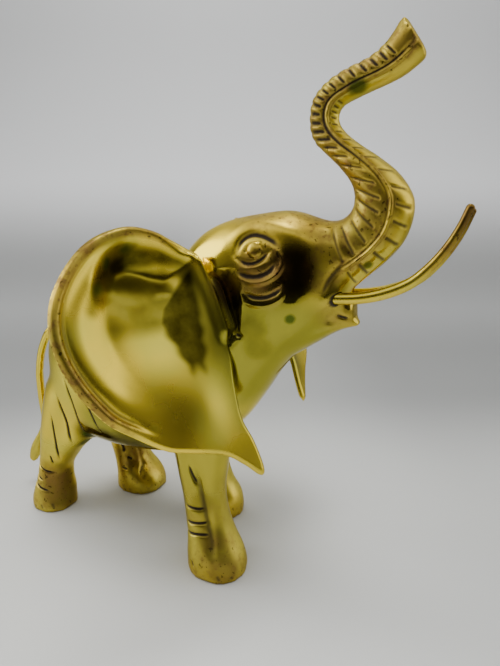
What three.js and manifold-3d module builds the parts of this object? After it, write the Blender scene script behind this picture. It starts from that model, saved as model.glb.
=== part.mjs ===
// A cast brass elephant, walking with its trunk raised, with two brass rods set in as tusks.
// Millimetres. +X is forward, +Y is the elephant's left and +Z is up. The origin is under the middle of the
// figure's box, on the surface that the four soles stand on.
// The free form keeps its pose and proportions as hundredths of the height, while the rods, the sheet metal
// of the ears, the tail and the tool cuts have sizes of their own.

import * as THREE from "three";
import Module from "manifold-3d";

const wasm = await Module();
wasm.setup();

// Driving sizes.
const HEIGHT = 220;
const TUSK_DIAMETER = 4.4;
const TUSK_TIP_DIAMETER = 3.2;
const TUSK_SOCKET_DEPTH = 9;
const TUSK_CLEARANCE = 0.3;
const TUSK_SHEATH_WALL = 1.8;
const EAR_THICKNESS = 2.6;
const EAR_RIM_WIDTH = 3.6;
const EAR_RIM_RISE = 0.9;
const TAIL_DIAMETER = 4.4;
const TAIL_TUFT_DIAMETER = 7;
const EYE_DIAMETER = 6.4;
const LID_DIAMETER = 2.4;
const CUT_WIDTH = 1.7;
const CUT_DEPTH = 0.9;
const TRUNK_GROOVE_DEPTH = 0.7;
const TRUNK_RIDGE_HEIGHT = 0.8;

// How finely the facets follow the form.
const BODY_SIDES = 20;
const TRUNK_SIDES = 16;
const JAW_SIDES = 14;
const LEG_SIDES = 12;
const EAR_SIDES = 34;
const ROD_SIDES = 12;
const BODY_STEPS = 17;
const JAW_STEPS = 7;
const LEG_STEPS = 8;

// How square a section is: 2 is an ellipse, and more is fuller at the corners.
const BODY_SQUARENESS = 2.3;
const LIMB_SQUARENESS = 2.2;

const PERCENT = HEIGHT / 100;
const LEFT = 1;
const RIGHT = -1;
const ACROSS = new THREE.Vector3(0, 1, 0);

// Ribs of the free form, in hundredths of the height: the x and z of a rib's first edge, the x and z of its
// second edge, the y of its middle and its half-width across.

// From the rump, over the belly and the chest, to the muzzle. The first edge is the back and the crown.
const BODY_RIBS = [
  [-37.0, 46.0, -36.4, 31.0, 0, 6.8],
  [-34.8, 48.8, -34.2, 24.0, 0, 9.6],
  [-29.8, 51.2, -29.6, 20.0, 0, 11.8],
  [-22.4, 53.0, -21.6, 18.9, 0, 12.8],
  [-12.4, 54.0, -11.6, 19.3, 0, 12.8],
  [-5.2, 55.6, -1.8, 21.2, 0, 12.2],
  [-3.4, 58.6, 4.4, 25.0, 0, 11.3],
  [-3.8, 61.6, 9.4, 30.0, 0, 10.5],
  [-2.2, 64.2, 13.4, 35.8, 0, 9.9],
  [1.6, 67.4, 16.6, 41.0, 0, 9.5],
  [6.3, 69.5, 19.4, 44.6, 0, 9.3],
  [12.6, 70.8, 22.4, 47.4, 0, 9.2],
  [18.6, 71.4, 25.2, 50.2, 0, 8.6],
  [23.0, 70.3, 27.0, 53.6, 0, 7.6],
];

// From the forehead to the trunk's mouth. The first edge is the upper side, which faces back.
const TRUNK_RIBS = [
  [19.6, 70.6, 26.6, 54.6, 0, 7.2],
  [25.3, 69.7, 30.2, 58.3, 0, 6.1],
  [27.4, 69.9, 32.4, 60.4, 0, 5.4],
  [28.9, 71.0, 35.4, 63.2, 0, 5.2],
  [29.6, 72.6, 37.9, 66.4, 0, 5.2],
  [29.5, 74.4, 39.1, 70.0, 0, 5.3],
  [28.8, 76.1, 39.0, 73.6, 0, 5.2],
  [26.9, 78.3, 36.6, 77.2, 0, 4.9],
  [25.0, 80.0, 33.2, 79.9, 0, 4.2],
  [22.7, 82.1, 29.6, 82.2, 0, 3.5],
  [21.6, 84.1, 27.1, 84.2, 0, 2.8],
  [21.3, 86.6, 26.1, 85.8, 0, 2.4],
  [21.7, 89.0, 26.2, 87.0, 0, 2.4],
  [22.9, 90.7, 26.9, 88.0, 0, 2.4],
  [24.8, 92.2, 28.6, 88.8, 0, 2.5],
  [27.5, 93.5, 30.9, 89.7, 0, 2.6],
  [30.1, 94.4, 33.8, 90.7, 0, 2.6],
  [32.2, 95.6, 36.1, 91.7, 0, 2.7],
  [33.5, 97.0, 38.2, 93.1, 0, 2.9],
  [34.6, 98.6, 40.6, 95.2, 0, 3.2],
  [36.4, 101.6, 42.0, 98.2, 0, 3.3],
];

// The lower jaw, from the throat to its tip. The first edge is the mouth's floor.
const JAW_RIBS = [
  [15.0, 55.6, 19.8, 44.8, 0, 6.4],
  [20.6, 54.4, 23.8, 47.6, 0, 5.4],
  [25.2, 53.9, 27.2, 50.0, 0, 4.1],
  [28.6, 53.6, 29.6, 51.2, 0, 2.9],
  [30.6, 52.9, 31.0, 51.5, 0, 1.7],
];

// Each leg from its sole to the hip or shoulder. The first edge is the back of the leg.
const LEG_RIBS = {
  right_hind: [
    [-45.9, 0, -35.5, 0, -6.2, 5.0],
    [-45.8, 2.2, -35.6, 2.2, -6.2, 5.0],
    [-44.8, 5.0, -35.4, 4.6, -6.2, 4.8],
    [-43.6, 8.4, -35.6, 7.8, -6.2, 4.2],
    [-42.4, 13.2, -35.0, 11.4, -6.1, 4.1],
    [-41.4, 18.2, -31.8, 15.6, -6.0, 4.8],
    [-40.4, 24.4, -26.8, 21.4, -5.8, 5.6],
    [-38.4, 33.0, -25.2, 30.6, -5.2, 6.0],
  ],
  left_hind: [
    [-32.8, 0, -20.2, 0, 10.2, 5.9],
    [-32.6, 2.2, -20.4, 2.2, 10.2, 6.0],
    [-32.6, 5.2, -21.6, 4.6, 10.2, 5.6],
    [-33.4, 9.4, -24.8, 8.2, 10.1, 4.8],
    [-34.6, 14.6, -25.0, 13.4, 9.6, 5.0],
    [-36.0, 22.2, -24.0, 20.6, 8.4, 5.4],
    [-37.2, 31.4, -23.8, 29.6, 6.4, 5.8],
  ],
  right_front: [
    [0.9, 0, 13.1, 0, -9.3, 5.6],
    [0.9, 2.2, 13.0, 2.2, -9.3, 5.6],
    [0.9, 4.6, 12.2, 4.6, -9.3, 5.5],
    [0.9, 7.8, 10.6, 8.0, -9.2, 4.8],
    [0.4, 11.8, 9.0, 12.4, -9.0, 4.3],
    [-0.5, 17.0, 8.2, 17.8, -8.6, 4.4],
    [-2.6, 24.0, 9.0, 25.0, -7.8, 5.0],
    [-5.2, 32.6, 10.0, 34.0, -6.8, 5.4],
  ],
  left_front: [
    [-7.9, 0, 3.6, 0, 8.8, 5.4],
    [-7.8, 2.2, 3.6, 2.2, 8.8, 5.4],
    [-7.8, 4.8, 3.0, 5.0, 8.8, 5.2],
    [-7.8, 8.2, 1.0, 8.8, 8.7, 4.5],
    [-7.8, 12.8, 0.0, 13.6, 8.5, 4.3],
    [-7.6, 19.6, 1.8, 20.4, 8.0, 4.7],
    [-6.8, 30.2, 5.6, 32.4, 6.8, 5.4],
  ],
};

// How far the ends of the forms are rounded off past their last ribs, in hundredths of the height.
const RUMP_ROUNDING = 2;
const MUZZLE_ROUNDING = 2.4;
const JAW_ROUNDING = 0.8;
const HIP_ROUNDING = 4;

// The trunk's mouth: a point on its flat face, and how far that face is tilted up from straight ahead.
const MOUTH_POINT = [37.3, 0, 97.1];
const MOUTH_TILT = THREE.MathUtils.degToRad(34);
const MOUTH_SLAB = 20;

// Middle lines, in hundredths of the height.
const TAIL_PATH = [
  [-36.0, 0, 43.4],
  [-42.4, 0, 42.8],
  [-46.2, 0, 38.4],
  [-48.3, 0, 31.6],
  [-48.6, 0, 24.8],
  [-48.4, 0, 17.8],
  [-50.8, -0.4, 11.8],
  [-53.2, -0.8, 6.6],
];
const TUSK_PATH = [
  [27.8, 4.7, 57.0],
  [32.3, 4.7, 57.5],
  [36.3, 4.7, 58.6],
  [40.1, 4.7, 60.5],
  [42.8, 4.7, 63.1],
  [44.9, 4.6, 66.0],
  [46.5, 4.6, 69.0],
  [47.7, 4.5, 72.2],
];
const LEFT_TUSK_DROP = 0.7;

// The sheath of the muzzle round a tusk: where it starts in the cheek, how thick it is there, how far it
// stands out halfway, and where halfway is.
const SHEATH_START = [19.0, 3.6, 59.6];
const SHEATH_RADIUS = 3.6;
const SHEATH_BULGE = 0.6;
const SHEATH_MIDDLE = 0.55;

// The ear: how far its face is turned out from straight ahead, how far it leans back, where the top of its
// root is, and its outline as pairs measured outward and upward from there.
const EAR_TURN = THREE.MathUtils.degToRad(28.4);
const EAR_LEAN = THREE.MathUtils.degToRad(21.4);
const EAR_ROOT = [3.3, 8.2, 64.0];
const EAR_MIDDLE = [10.9, -15.5];
const EAR_DISH_DEPTH = 4.2;
const EAR_OUTLINE = [
  [0, 0],
  [4.2, 2.7],
  [7.4, 4.5],
  [11.7, 5.5],
  [16.3, 4.6],
  [20.0, 2.7],
  [23.2, -0.3],
  [25.7, -3.7],
  [27.2, -7.0],
  [27.8, -10.7],
  [27.5, -14.5],
  [26.4, -18.2],
  [24.5, -22.1],
  [21.9, -25.8],
  [18.7, -28.5],
  [13.5, -32.3],
  [9.6, -33.8],
  [3.2, -36.0],
  [-0.4, -38.7],
  [-3.4, -41.6],
  [-4.5, -40.6],
  [-3.6, -35.3],
  [-2.1, -30.7],
  [-2.1, -24.7],
  [-2.8, -17.5],
  [-1.8, -8.0],
];
const LEFT_EAR_LENGTH = 0.9;
const LEFT_EAR_FORWARD = 2.3;

// The web that carries an ear: its middle line, and its radius at the neck and at the ear.
const EAR_WEB_PATH = [
  [-1.0, 3.0, 58.0],
  [-0.3, 8.4, 56.0],
  [-0.8, 11.6, 54.5],
];
const EAR_WEB_RADII = [4.4, 2.2];

// The eye: where it is on the side of the head, how far its ball is sunk as a share of its width, and the
// lines of its upper lid, its lower lid and the fold below, measured forward and upward from the ball.
const EYE_PLACE = [14.3, 65.0];
const EYE_SINK = 0.22;
const LID_LINES = [
  [[-3.6, 1.6], [-2.2, 2.6], [0, 2.7], [2.2, 1.4], [4.2, -1.4]],
  [[-3.4, 0.4], [-2.0, -1.6], [0.4, -2.2], [2.6, -1.6], [4.4, -1.8]],
  [[-1.8, -7.4], [0.6, -8.6], [3.0, -8.6], [5.2, -7.6]],
];

/** A point of the free form from its hundredths, on the right or the left side. */
function placeOf([x, y, z], side = LEFT) {
  return new THREE.Vector3(x, side * y, z).multiplyScalar(PERCENT);
}

/** Catmull-Rom value of every column of the rows, at t from 0 on the first row to 1 on the last. */
function rowAt(rows, t) {
  const place = THREE.MathUtils.clamp(t, 0, 1) * (rows.length - 1);
  const first = Math.min(Math.floor(place), rows.length - 2);
  const u = place - first;
  return rows[first].map((start, column) => {
    const end = rows[first + 1][column];
    const before = first > 0 ? rows[first - 1][column] : 2 * start - end;
    const after = first < rows.length - 2 ? rows[first + 2][column] : 2 * end - start;
    const slopeIn = (end - before) / 2;
    const slopeOut = (after - start) / 2;
    const bend = 3 * (end - start) - 2 * slopeIn - slopeOut;
    const twist = 2 * (start - end) + slopeIn + slopeOut;
    return start + u * (slopeIn + u * (bend + u * twist));
  });
}

/** Even steps from 0 to 1, both ends included. */
function evenSteps(count) {
  return Array.from({ length: count + 1 }, (_, index) => index / count);
}

/** A smooth rise from 0 to 1 as value goes from low to high. */
function rise(value, low, high) {
  return THREE.MathUtils.smoothstep(value, low, high);
}

/** A manifold solid from the points and triangles of one closed skin, turned so that its faces point out. */
function solidFromSkin(points, triangles) {
  let volume = 0;
  for (const [a, b, c] of triangles) {
    volume += points[a].dot(points[b].clone().cross(points[c]));
  }
  const turned = volume < 0 ? triangles.map(([a, b, c]) => [a, c, b]) : triangles;
  const vertProperties = new Float32Array(points.flatMap((point) => point.toArray()));
  const triVerts = new Uint32Array(turned.flat());
  return new wasm.Manifold(new wasm.Mesh({ numProp: 3, vertProperties, triVerts }));
}

/** Skin over rings of equal count, closed by a point at either end. */
function solidFromRings(rings) {
  const sides = rings[0].length;
  const points = rings.flat();
  const triangles = [];
  for (let ring = 0; ring < rings.length - 1; ring += 1) {
    for (let side = 0; side < sides; side += 1) {
      const next = (side + 1) % sides;
      const a = ring * sides + side;
      const b = ring * sides + next;
      triangles.push([a, b, b + sides], [a, b + sides, a + sides]);
    }
  }
  for (const ring of [0, rings.length - 1]) {
    const middle = new THREE.Vector3();
    rings[ring].forEach((point) => middle.addScaledVector(point, 1 / sides));
    points.push(middle);
    for (let side = 0; side < sides; side += 1) {
      const a = ring * sides + side;
      const b = ring * sides + ((side + 1) % sides);
      triangles.push(ring === 0 ? [b, a, points.length - 1] : [a, b, points.length - 1]);
    }
  }
  return solidFromSkin(points, triangles);
}

/** A free form spanned by ribs. A turn of 0 is the rib's first edge, and a quarter turn is its left side. */
class Form {
  constructor(ribs, squareness = 2) {
    this.ribs = ribs;
    this.squareness = squareness;
  }

  rib(t) {
    const [x1, z1, x2, z2, y, halfWidth] = rowAt(this.ribs, t).map((value) => value * PERCENT);
    const first = new THREE.Vector3(x1, y, z1);
    const second = new THREE.Vector3(x2, y, z2);
    const middle = first.clone().lerp(second, 0.5);
    return { middle, reach: first.sub(middle), side: ACROSS.clone().multiplyScalar(halfWidth) };
  }

  point(t, turn, lift = 0) {
    const { middle, reach, side } = this.rib(t);
    const power = 2 / this.squareness;
    const along = Math.sign(Math.cos(turn)) * Math.abs(Math.cos(turn)) ** power;
    const across = Math.sign(Math.sin(turn)) * Math.abs(Math.sin(turn)) ** power;
    const outward = reach.clone().multiplyScalar(along / reach.lengthSq());
    outward.addScaledVector(side, across / side.lengthSq()).normalize();
    const point = middle.addScaledVector(reach, along).addScaledVector(side, across);
    return point.addScaledVector(outward, lift);
  }

  ring(t, sides, relief) {
    return Array.from({ length: sides }, (_, index) => {
      const turn = (index / sides) * 2 * Math.PI;
      return this.point(t, turn, relief ? relief(t, turn) : 0);
    });
  }

  /** Rings that round the form off past its start or end, by the depth given. */
  cap(t, sides, depth) {
    const step = t === 0 ? 0.01 : -0.01;
    const outward = this.rib(t).middle.sub(this.rib(t + step).middle).normalize();
    const { middle } = this.rib(t);
    return [32, 64].map((degrees) => {
      const angle = THREE.MathUtils.degToRad(degrees);
      return this.ring(t, sides).map((point) => {
        const shrunk = middle.clone().lerp(point, Math.cos(angle));
        return shrunk.addScaledVector(outward, depth * Math.sin(angle));
      });
    });
  }

  solid({ sides, stops, relief, startCap = 0, endCap = 0 }) {
    const rings = stops.map((t) => this.ring(t, sides, relief));
    const before = startCap > 0 ? this.cap(0, sides, startCap).reverse() : [];
    const after = endCap > 0 ? this.cap(1, sides, endCap) : [];
    return solidFromRings([...before, ...rings, ...after]);
  }

  /** The point of the form's right or left side that is seen at x and z. */
  sidePoint(x, z, side) {
    let best = null;
    let bestDistance = Infinity;
    for (const t of evenSteps(120)) {
      for (const share of evenSteps(60)) {
        const point = this.point(t, side * share * Math.PI);
        const distance = Math.hypot(point.x - x, point.z - z);
        if (distance < bestDistance) {
          best = point;
          bestDistance = distance;
        }
      }
    }
    return best;
  }
}

/** A round rod along a curve through the points, with its radius given by t from 0 to 1. */
function rod(points, radiusAt, { sides, steps, roundEnd = false }) {
  const curve = new THREE.CatmullRomCurve3(points);
  const ringAt = (t, radius, push = 0) => {
    const along = curve.getTangentAt(t);
    const across = ACROSS.clone().addScaledVector(along, -ACROSS.dot(along)).normalize();
    const upright = along.clone().cross(across);
    return Array.from({ length: sides }, (_, index) => {
      const turn = (index / sides) * 2 * Math.PI;
      const point = curve.getPointAt(t).addScaledVector(across, radius * Math.sin(turn));
      return point.addScaledVector(upright, radius * Math.cos(turn)).addScaledVector(along, push);
    });
  };
  const rings = evenSteps(steps).map((t) => ringAt(t, radiusAt(t)));
  if (roundEnd) {
    const radius = radiusAt(1);
    rings.push(ringAt(1, radius * 0.8, radius * 0.5), ringAt(1, radius * 0.4, radius * 0.85));
  }
  return solidFromRings(rings);
}

/** A long thin diamond that cuts a stroke along points of a surface, with the outward direction at each. */
function stroke(path, width = CUT_WIDTH, depth = CUT_DEPTH) {
  const rings = path.map(({ point, outward }, index) => {
    const before = path[Math.max(index - 1, 0)].point;
    const after = path[Math.min(index + 1, path.length - 1)].point;
    const sideways = after.clone().sub(before).cross(outward).normalize();
    const end = index === 0 || index === path.length - 1;
    const share = end ? 0.25 : 1;
    return [
      point.clone().addScaledVector(sideways, share * width),
      point.clone().addScaledVector(outward, share * 2 * depth),
      point.clone().addScaledVector(sideways, -share * width),
      point.clone().addScaledVector(outward, -share * depth),
    ];
  });
  return solidFromRings(rings);
}

const body = new Form(BODY_RIBS, BODY_SQUARENESS);
const trunk = new Form(TRUNK_RIBS, LIMB_SQUARENESS);
const jaw = new Form(JAW_RIBS, LIMB_SQUARENESS);
const legs = {};
for (const [name, ribs] of Object.entries(LEG_RIBS)) {
  legs[name] = new Form(ribs, LIMB_SQUARENESS);
}

// The carving of the trunk: beads up its back, a ridge along either side and short strokes on the front.
const TRUNK_FAN_START = 0.07;
const TRUNK_BEADS_START = 0.4;
const TRUNK_BEADS_END = 0.9;
const TRUNK_FAN_STROKES = 7;
const TRUNK_BEADS = 18;
const TRUNK_RIDGE_TURN = THREE.MathUtils.degToRad(112);
const TRUNK_RIDGE_SPREAD = 0.3;

/** Where the trunk's rings stand: one in each groove and one on each swelling between two grooves. */
function trunkStops() {
  const fan = evenSteps(TRUNK_FAN_STROKES * 2).map((share) => {
    return THREE.MathUtils.lerp(TRUNK_FAN_START, TRUNK_BEADS_START, share);
  });
  const beads = evenSteps(TRUNK_BEADS * 2).map((share) => {
    return THREE.MathUtils.lerp(TRUNK_BEADS_START, TRUNK_BEADS_END, share);
  });
  return [0, ...fan, ...beads.slice(1), 0.95, 1];
}

/** How far the trunk's skin stands off its plain form. */
function trunkRelief(t, turn) {
  const away = Math.abs(turn > Math.PI ? 2 * Math.PI - turn : turn);
  const ridge = 1 - rise(Math.abs(away - TRUNK_RIDGE_TURN), 0, TRUNK_RIDGE_SPREAD);
  const worked = rise(t, 0.04, TRUNK_FAN_START) * (1 - rise(t, 0.93, 0.97));
  const onFan = t < TRUNK_BEADS_START;
  const share = onFan
    ? (t - TRUNK_FAN_START) / (TRUNK_BEADS_START - TRUNK_FAN_START)
    : (t - TRUNK_BEADS_START) / (TRUNK_BEADS_END - TRUNK_BEADS_START);
  const phase = share * (onFan ? TRUNK_FAN_STROKES : TRUNK_BEADS);
  const groove = 0.5 + 0.5 * Math.cos(phase * 2 * Math.PI);
  const back = 1 - rise(away, TRUNK_RIDGE_TURN - 0.6, TRUNK_RIDGE_TURN - 0.2);
  const front = 0.5 * rise(away, TRUNK_RIDGE_TURN + 0.2, TRUNK_RIDGE_TURN + 0.6);
  const inRange = t >= TRUNK_FAN_START && t <= TRUNK_BEADS_END ? 1 : 0;
  return worked * (ridge * TRUNK_RIDGE_HEIGHT - inRange * groove * (back + front) * TRUNK_GROOVE_DEPTH);
}

/** A slab beyond the trunk's mouth, which cuts its end off flat and slanting. */
function trunkMouthCut() {
  const size = MOUTH_SLAB * PERCENT;
  const box = new THREE.BoxGeometry(size, size, size);
  box.deleteAttribute("normal");
  box.deleteAttribute("uv");
  const corners = new Map();
  const points = [];
  const place = box.getAttribute("position");
  const index = Array.from(box.getIndex().array, (vertex) => {
    const point = new THREE.Vector3().fromBufferAttribute(place, vertex);
    const key = point.toArray().join(" ");
    if (!corners.has(key)) {
      corners.set(key, points.length);
      points.push(point);
    }
    return corners.get(key);
  });
  const facing = new THREE.Vector3(Math.cos(MOUTH_TILT), 0, Math.sin(MOUTH_TILT));
  const mouth = placeOf(MOUTH_POINT);
  points.forEach((point) => {
    point.applyAxisAngle(ACROSS, -MOUTH_TILT).add(mouth).addScaledVector(facing, size / 2);
  });
  const triangles = [];
  for (let first = 0; first < index.length; first += 3) {
    triangles.push(index.slice(first, first + 3));
  }
  return solidFromSkin(points, triangles);
}

/** The ear's own axes: outward along its width, up along its height and forward off its face. */
function earAxes(side) {
  const face = new THREE.Vector3(
    Math.cos(EAR_LEAN) * Math.cos(EAR_TURN),
    side * Math.cos(EAR_LEAN) * Math.sin(EAR_TURN),
    Math.sin(EAR_LEAN),
  );
  const outward = new THREE.Vector3(-Math.sin(EAR_TURN), side * Math.cos(EAR_TURN), 0);
  const up = new THREE.Vector3().crossVectors(face, outward).multiplyScalar(side);
  return { face, outward, up };
}

/** One ear: a dished sheet with a raised rim. */
function ear(side) {
  const length = side === LEFT ? LEFT_EAR_LENGTH : 1;
  const { face, outward, up } = earAxes(side);
  const forward = side === LEFT ? LEFT_EAR_FORWARD : 0;
  const root = new THREE.Vector3(EAR_ROOT[0], side * EAR_ROOT[1], EAR_ROOT[2]);
  root.addScaledVector(face, forward);
  const closed = [...EAR_OUTLINE, EAR_OUTLINE[0]];
  const rim = EAR_RIM_WIDTH / PERCENT;
  const edge = evenSteps(EAR_SIDES).slice(0, EAR_SIDES).map((share) => rowAt(closed, share));
  const shares = [0.35, 0.62, 0.82];
  const at = (pair, share, lift) => {
    const [a, b] = pair.map((value, axis) => THREE.MathUtils.lerp(EAR_MIDDLE[axis], value, share));
    const lobe = rise(b, -38, -26);
    const dish = EAR_DISH_DEPTH * (0.25 + 0.75 * lobe) * (1 - share ** 2.4);
    const place = root.clone().addScaledVector(outward, a).addScaledVector(up, b * length);
    return place.addScaledVector(face, -dish).multiplyScalar(PERCENT).addScaledVector(face, lift);
  };
  const ringAt = (shareOf, lift) => edge.map((pair) => at(pair, shareOf(pair), lift));
  const rimShare = (pair, widths) => {
    const reach = Math.hypot(pair[0] - EAR_MIDDLE[0], pair[1] - EAR_MIDDLE[1]);
    return 1 - (widths * rim) / reach;
  };
  const front = [
    ...shares.map((share) => ringAt(() => share, 0)),
    ringAt((pair) => rimShare(pair, 1.2), 0),
    ringAt((pair) => rimShare(pair, 0.8), EAR_RIM_RISE),
    ringAt((pair) => rimShare(pair, 0.3), EAR_RIM_RISE),
    ringAt(() => 1, 0),
  ];
  const back = [
    ringAt(() => 1, -EAR_THICKNESS * 0.6),
    ringAt((pair) => rimShare(pair, 0.4), -EAR_THICKNESS),
    ...[0.75, 0.4].map((share) => ringAt(() => share, -EAR_THICKNESS)),
  ];
  return solidFromRings([...front, ...back]);
}

/** The web that carries an ear, between the neck and the back of the ear. */
function earRoot(side) {
  const points = EAR_WEB_PATH.map((place) => placeOf(place, side));
  const [start, end] = EAR_WEB_RADII;
  const radiusAt = (t) => THREE.MathUtils.lerp(start, end, t) * PERCENT;
  return rod(points, radiusAt, { sides: ROD_SIDES, steps: 5, roundEnd: true });
}

/** An eye in its lids, on the side of the head. */
function eye(side) {
  const onHead = ([x, z], lift = 0) => {
    const point = body.sidePoint((EYE_PLACE[0] + x) * PERCENT, (EYE_PLACE[1] + z) * PERCENT, side);
    return point.addScaledVector(ACROSS, side * lift);
  };
  const middle = onHead([0, 0], -EYE_DIAMETER * EYE_SINK);
  const rings = [];
  for (const polar of evenSteps(6).slice(1, 6)) {
    rings.push(
      evenSteps(10).slice(0, 10).map((share) => {
        const radius = (EYE_DIAMETER / 2) * Math.sin(polar * Math.PI);
        const turn = share * 2 * Math.PI;
        const rim = new THREE.Vector3(radius * Math.cos(turn), 0, radius * Math.sin(turn));
        return rim.add(middle).addScaledVector(ACROSS, (EYE_DIAMETER / 2) * Math.cos(polar * Math.PI));
      }),
    );
  }
  const lids = LID_LINES.map((line) => {
    const swell = (t) => (LID_DIAMETER / 2) * (0.35 + 0.65 * Math.sin(Math.PI * t));
    return rod(line.map((pair) => onHead(pair, 0.2)), swell, { sides: 5, steps: 5 });
  });
  return lids.reduce((whole, lid) => whole.add(lid), solidFromRings(rings));
}

/** The tusk's middle line, from the bottom of its socket to its tip. */
function tuskPoints(side) {
  const drop = side === LEFT ? LEFT_TUSK_DROP : 0;
  const points = TUSK_PATH.map(([x, y, z]) => placeOf([x, y, z - drop], side));
  const inward = points[0].clone().sub(points[1]).normalize();
  return [points[0].clone().addScaledVector(inward, TUSK_SOCKET_DEPTH), ...points];
}

/** A tusk: a bent rod that narrows to a rounded tip. */
function tusk(side) {
  const radiusAt = (t) => {
    return THREE.MathUtils.lerp(TUSK_DIAMETER, TUSK_TIP_DIAMETER, rise(t, 0.35, 1)) / 2;
  };
  return rod(tuskPoints(side), radiusAt, { sides: 9, steps: 11, roundEnd: true });
}

/** The socket that a tusk is set in, a clearance larger all round. */
function tuskSocket(side) {
  const [bottom, mouth, beyond] = tuskPoints(side);
  const inward = bottom.clone().sub(mouth).normalize();
  const deepest = bottom.clone().addScaledVector(inward, TUSK_CLEARANCE);
  const radius = TUSK_DIAMETER / 2 + TUSK_CLEARANCE;
  const outerRadius = radius / Math.cos(Math.PI / ROD_SIDES);
  return rod([deepest, bottom, mouth, beyond], () => outerRadius, { sides: ROD_SIDES, steps: 8 });
}

/** The sheath of the muzzle that a tusk comes out of. */
function tuskSheath(side) {
  const mouth = tuskPoints(side)[1];
  const cheek = placeOf(SHEATH_START, side);
  const between = cheek.clone().lerp(mouth, SHEATH_MIDDLE);
  between.addScaledVector(ACROSS, side * SHEATH_BULGE * PERCENT);
  const rim = TUSK_DIAMETER / 2 + TUSK_CLEARANCE + TUSK_SHEATH_WALL;
  const radiusAt = (t) => THREE.MathUtils.lerp(SHEATH_RADIUS * PERCENT, rim, rise(t, 0, 0.95));
  return rod([cheek, between, mouth], radiusAt, { sides: ROD_SIDES, steps: 4 });
}

/** The tail, with the tuft of hair at its end. */
function tail() {
  const points = TAIL_PATH.map((place) => placeOf(place));
  const radiusAt = (t) => {
    const root = 1 + 0.6 * (1 - rise(t, 0.05, 0.25));
    const tuft = (TAIL_TUFT_DIAMETER - TAIL_DIAMETER) * rise(t, 0.8, 0.92) * (1 - 0.7 * rise(t, 0.94, 1));
    return (TAIL_DIAMETER * root + tuft) / 2;
  };
  return rod(points, radiusAt, { sides: 8, steps: 14, roundEnd: true });
}

// Strokes cut round the back of each ankle: heights as hundredths, and the turns they run between.
const ANKLE_STROKES = { hind: [8.6, 6.2, 4.0], front: [15.4, 12.4, 10.2] };
const ANKLE_STROKE_TURNS = [12, 34, 56, 80].map(THREE.MathUtils.degToRad);

/** The strokes of one ankle. */
function ankleStrokes(name) {
  const [sideName, pair] = name.split("_");
  const side = sideName === "left" ? LEFT : RIGHT;
  const leg = legs[name];
  return ANKLE_STROKES[pair].map((height) => {
    const t = evenSteps(200).find((step) => leg.rib(step).middle.z >= height * PERCENT);
    const path = ANKLE_STROKE_TURNS.map((turn) => {
      const point = leg.point(t, side * turn);
      return { point, outward: leg.point(t, side * turn, 1).sub(point) };
    });
    return stroke(path);
  });
}

// Long cuts down the outside of the thigh, each as x and z of its top, middle and foot, in hundredths.
const THIGH_CUTS = [
  [[-35.5, 35.5], [-29.5, 29.5], [-28.2, 25.6]],
  [[-36.5, 33.5], [-33.6, 27.4], [-31.4, 21.4]],
  [[-37.8, 30.0], [-36.0, 24.4], [-34.4, 18.8]],
  [[-39.4, 25.4], [-38.4, 20.4], [-37.4, 15.0]],
];

/** The cuts of one thigh, which follow whichever of the leg and the body stands further out. */
function thighCuts(name) {
  const side = name.startsWith("left") ? LEFT : RIGHT;
  const leg = legs[name];
  const shift = side === LEFT ? 1.2 : 0;
  return THIGH_CUTS.map((line) => {
    const path = evenSteps(5).map((share) => {
      const [x, z] = rowAt(line, share).map((value) => value * PERCENT);
      const onLeg = leg.sidePoint(x + shift * PERCENT, z, side);
      const onBody = body.sidePoint(x + shift * PERCENT, z, side);
      const point = onLeg.y * side > onBody.y * side ? onLeg : onBody;
      return { point, outward: new THREE.Vector3(0, side, 0) };
    });
    return stroke(path);
  });
}

/** The whole casting. */
function casting() {
  const bodyCaps = { startCap: RUMP_ROUNDING * PERCENT, endCap: MUZZLE_ROUNDING * PERCENT };
  const pieces = [
    body.solid({ sides: BODY_SIDES, stops: evenSteps(BODY_STEPS), ...bodyCaps }),
    trunk.solid({ sides: TRUNK_SIDES, stops: trunkStops(), relief: trunkRelief }),
    jaw.solid({ sides: JAW_SIDES, stops: evenSteps(JAW_STEPS), endCap: JAW_ROUNDING * PERCENT }),
  ];
  for (const leg of Object.values(legs)) {
    pieces.push(leg.solid({ sides: LEG_SIDES, stops: evenSteps(LEG_STEPS), endCap: HIP_ROUNDING * PERCENT }));
  }
  pieces.push(tail());
  for (const side of [RIGHT, LEFT]) {
    pieces.push(ear(side), earRoot(side), tuskSheath(side), eye(side));
  }
  const cuts = [trunkMouthCut(), tuskSocket(RIGHT), tuskSocket(LEFT)];
  Object.keys(legs).forEach((name) => cuts.push(...ankleStrokes(name)));
  cuts.push(...thighCuts("right_hind"), ...thighCuts("left_hind"));
  const whole = pieces.reduce((sum, piece) => sum.add(piece));
  return cuts.reduce((rest, cut) => rest.subtract(cut), whole);
}

/** A mesh in the model's brass from a manifold solid. */
function meshOf(name, solid, roughness) {
  const { vertProperties, triVerts } = solid.getMesh();
  const geometry = new THREE.BufferGeometry();
  geometry.setAttribute("position", new THREE.BufferAttribute(new Float32Array(vertProperties), 3));
  geometry.setIndex(new THREE.BufferAttribute(new Uint32Array(triVerts), 1));
  geometry.computeVertexNormals();
  const material = new THREE.MeshStandardMaterial({ color: 0xb59a48, roughness, metalness: 1 });
  const mesh = new THREE.Mesh(geometry, material);
  mesh.name = name;
  return mesh;
}

const model = new THREE.Group();
model.add(meshOf("elephant_casting", casting(), 0.28));
model.add(meshOf("right_tusk", tusk(RIGHT), 0.22));
model.add(meshOf("left_tusk", tusk(LEFT), 0.22));

// The origin goes under the middle of the figure's box.
const box = new THREE.Box3().setFromObject(model);
const middle = box.getCenter(new THREE.Vector3());
model.position.set(-middle.x, -middle.y, -box.min.z);
model.updateMatrixWorld(true);

export default model;
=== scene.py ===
"""A cast brass elephant, walking with its trunk raised, on a pale studio floor."""

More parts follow.
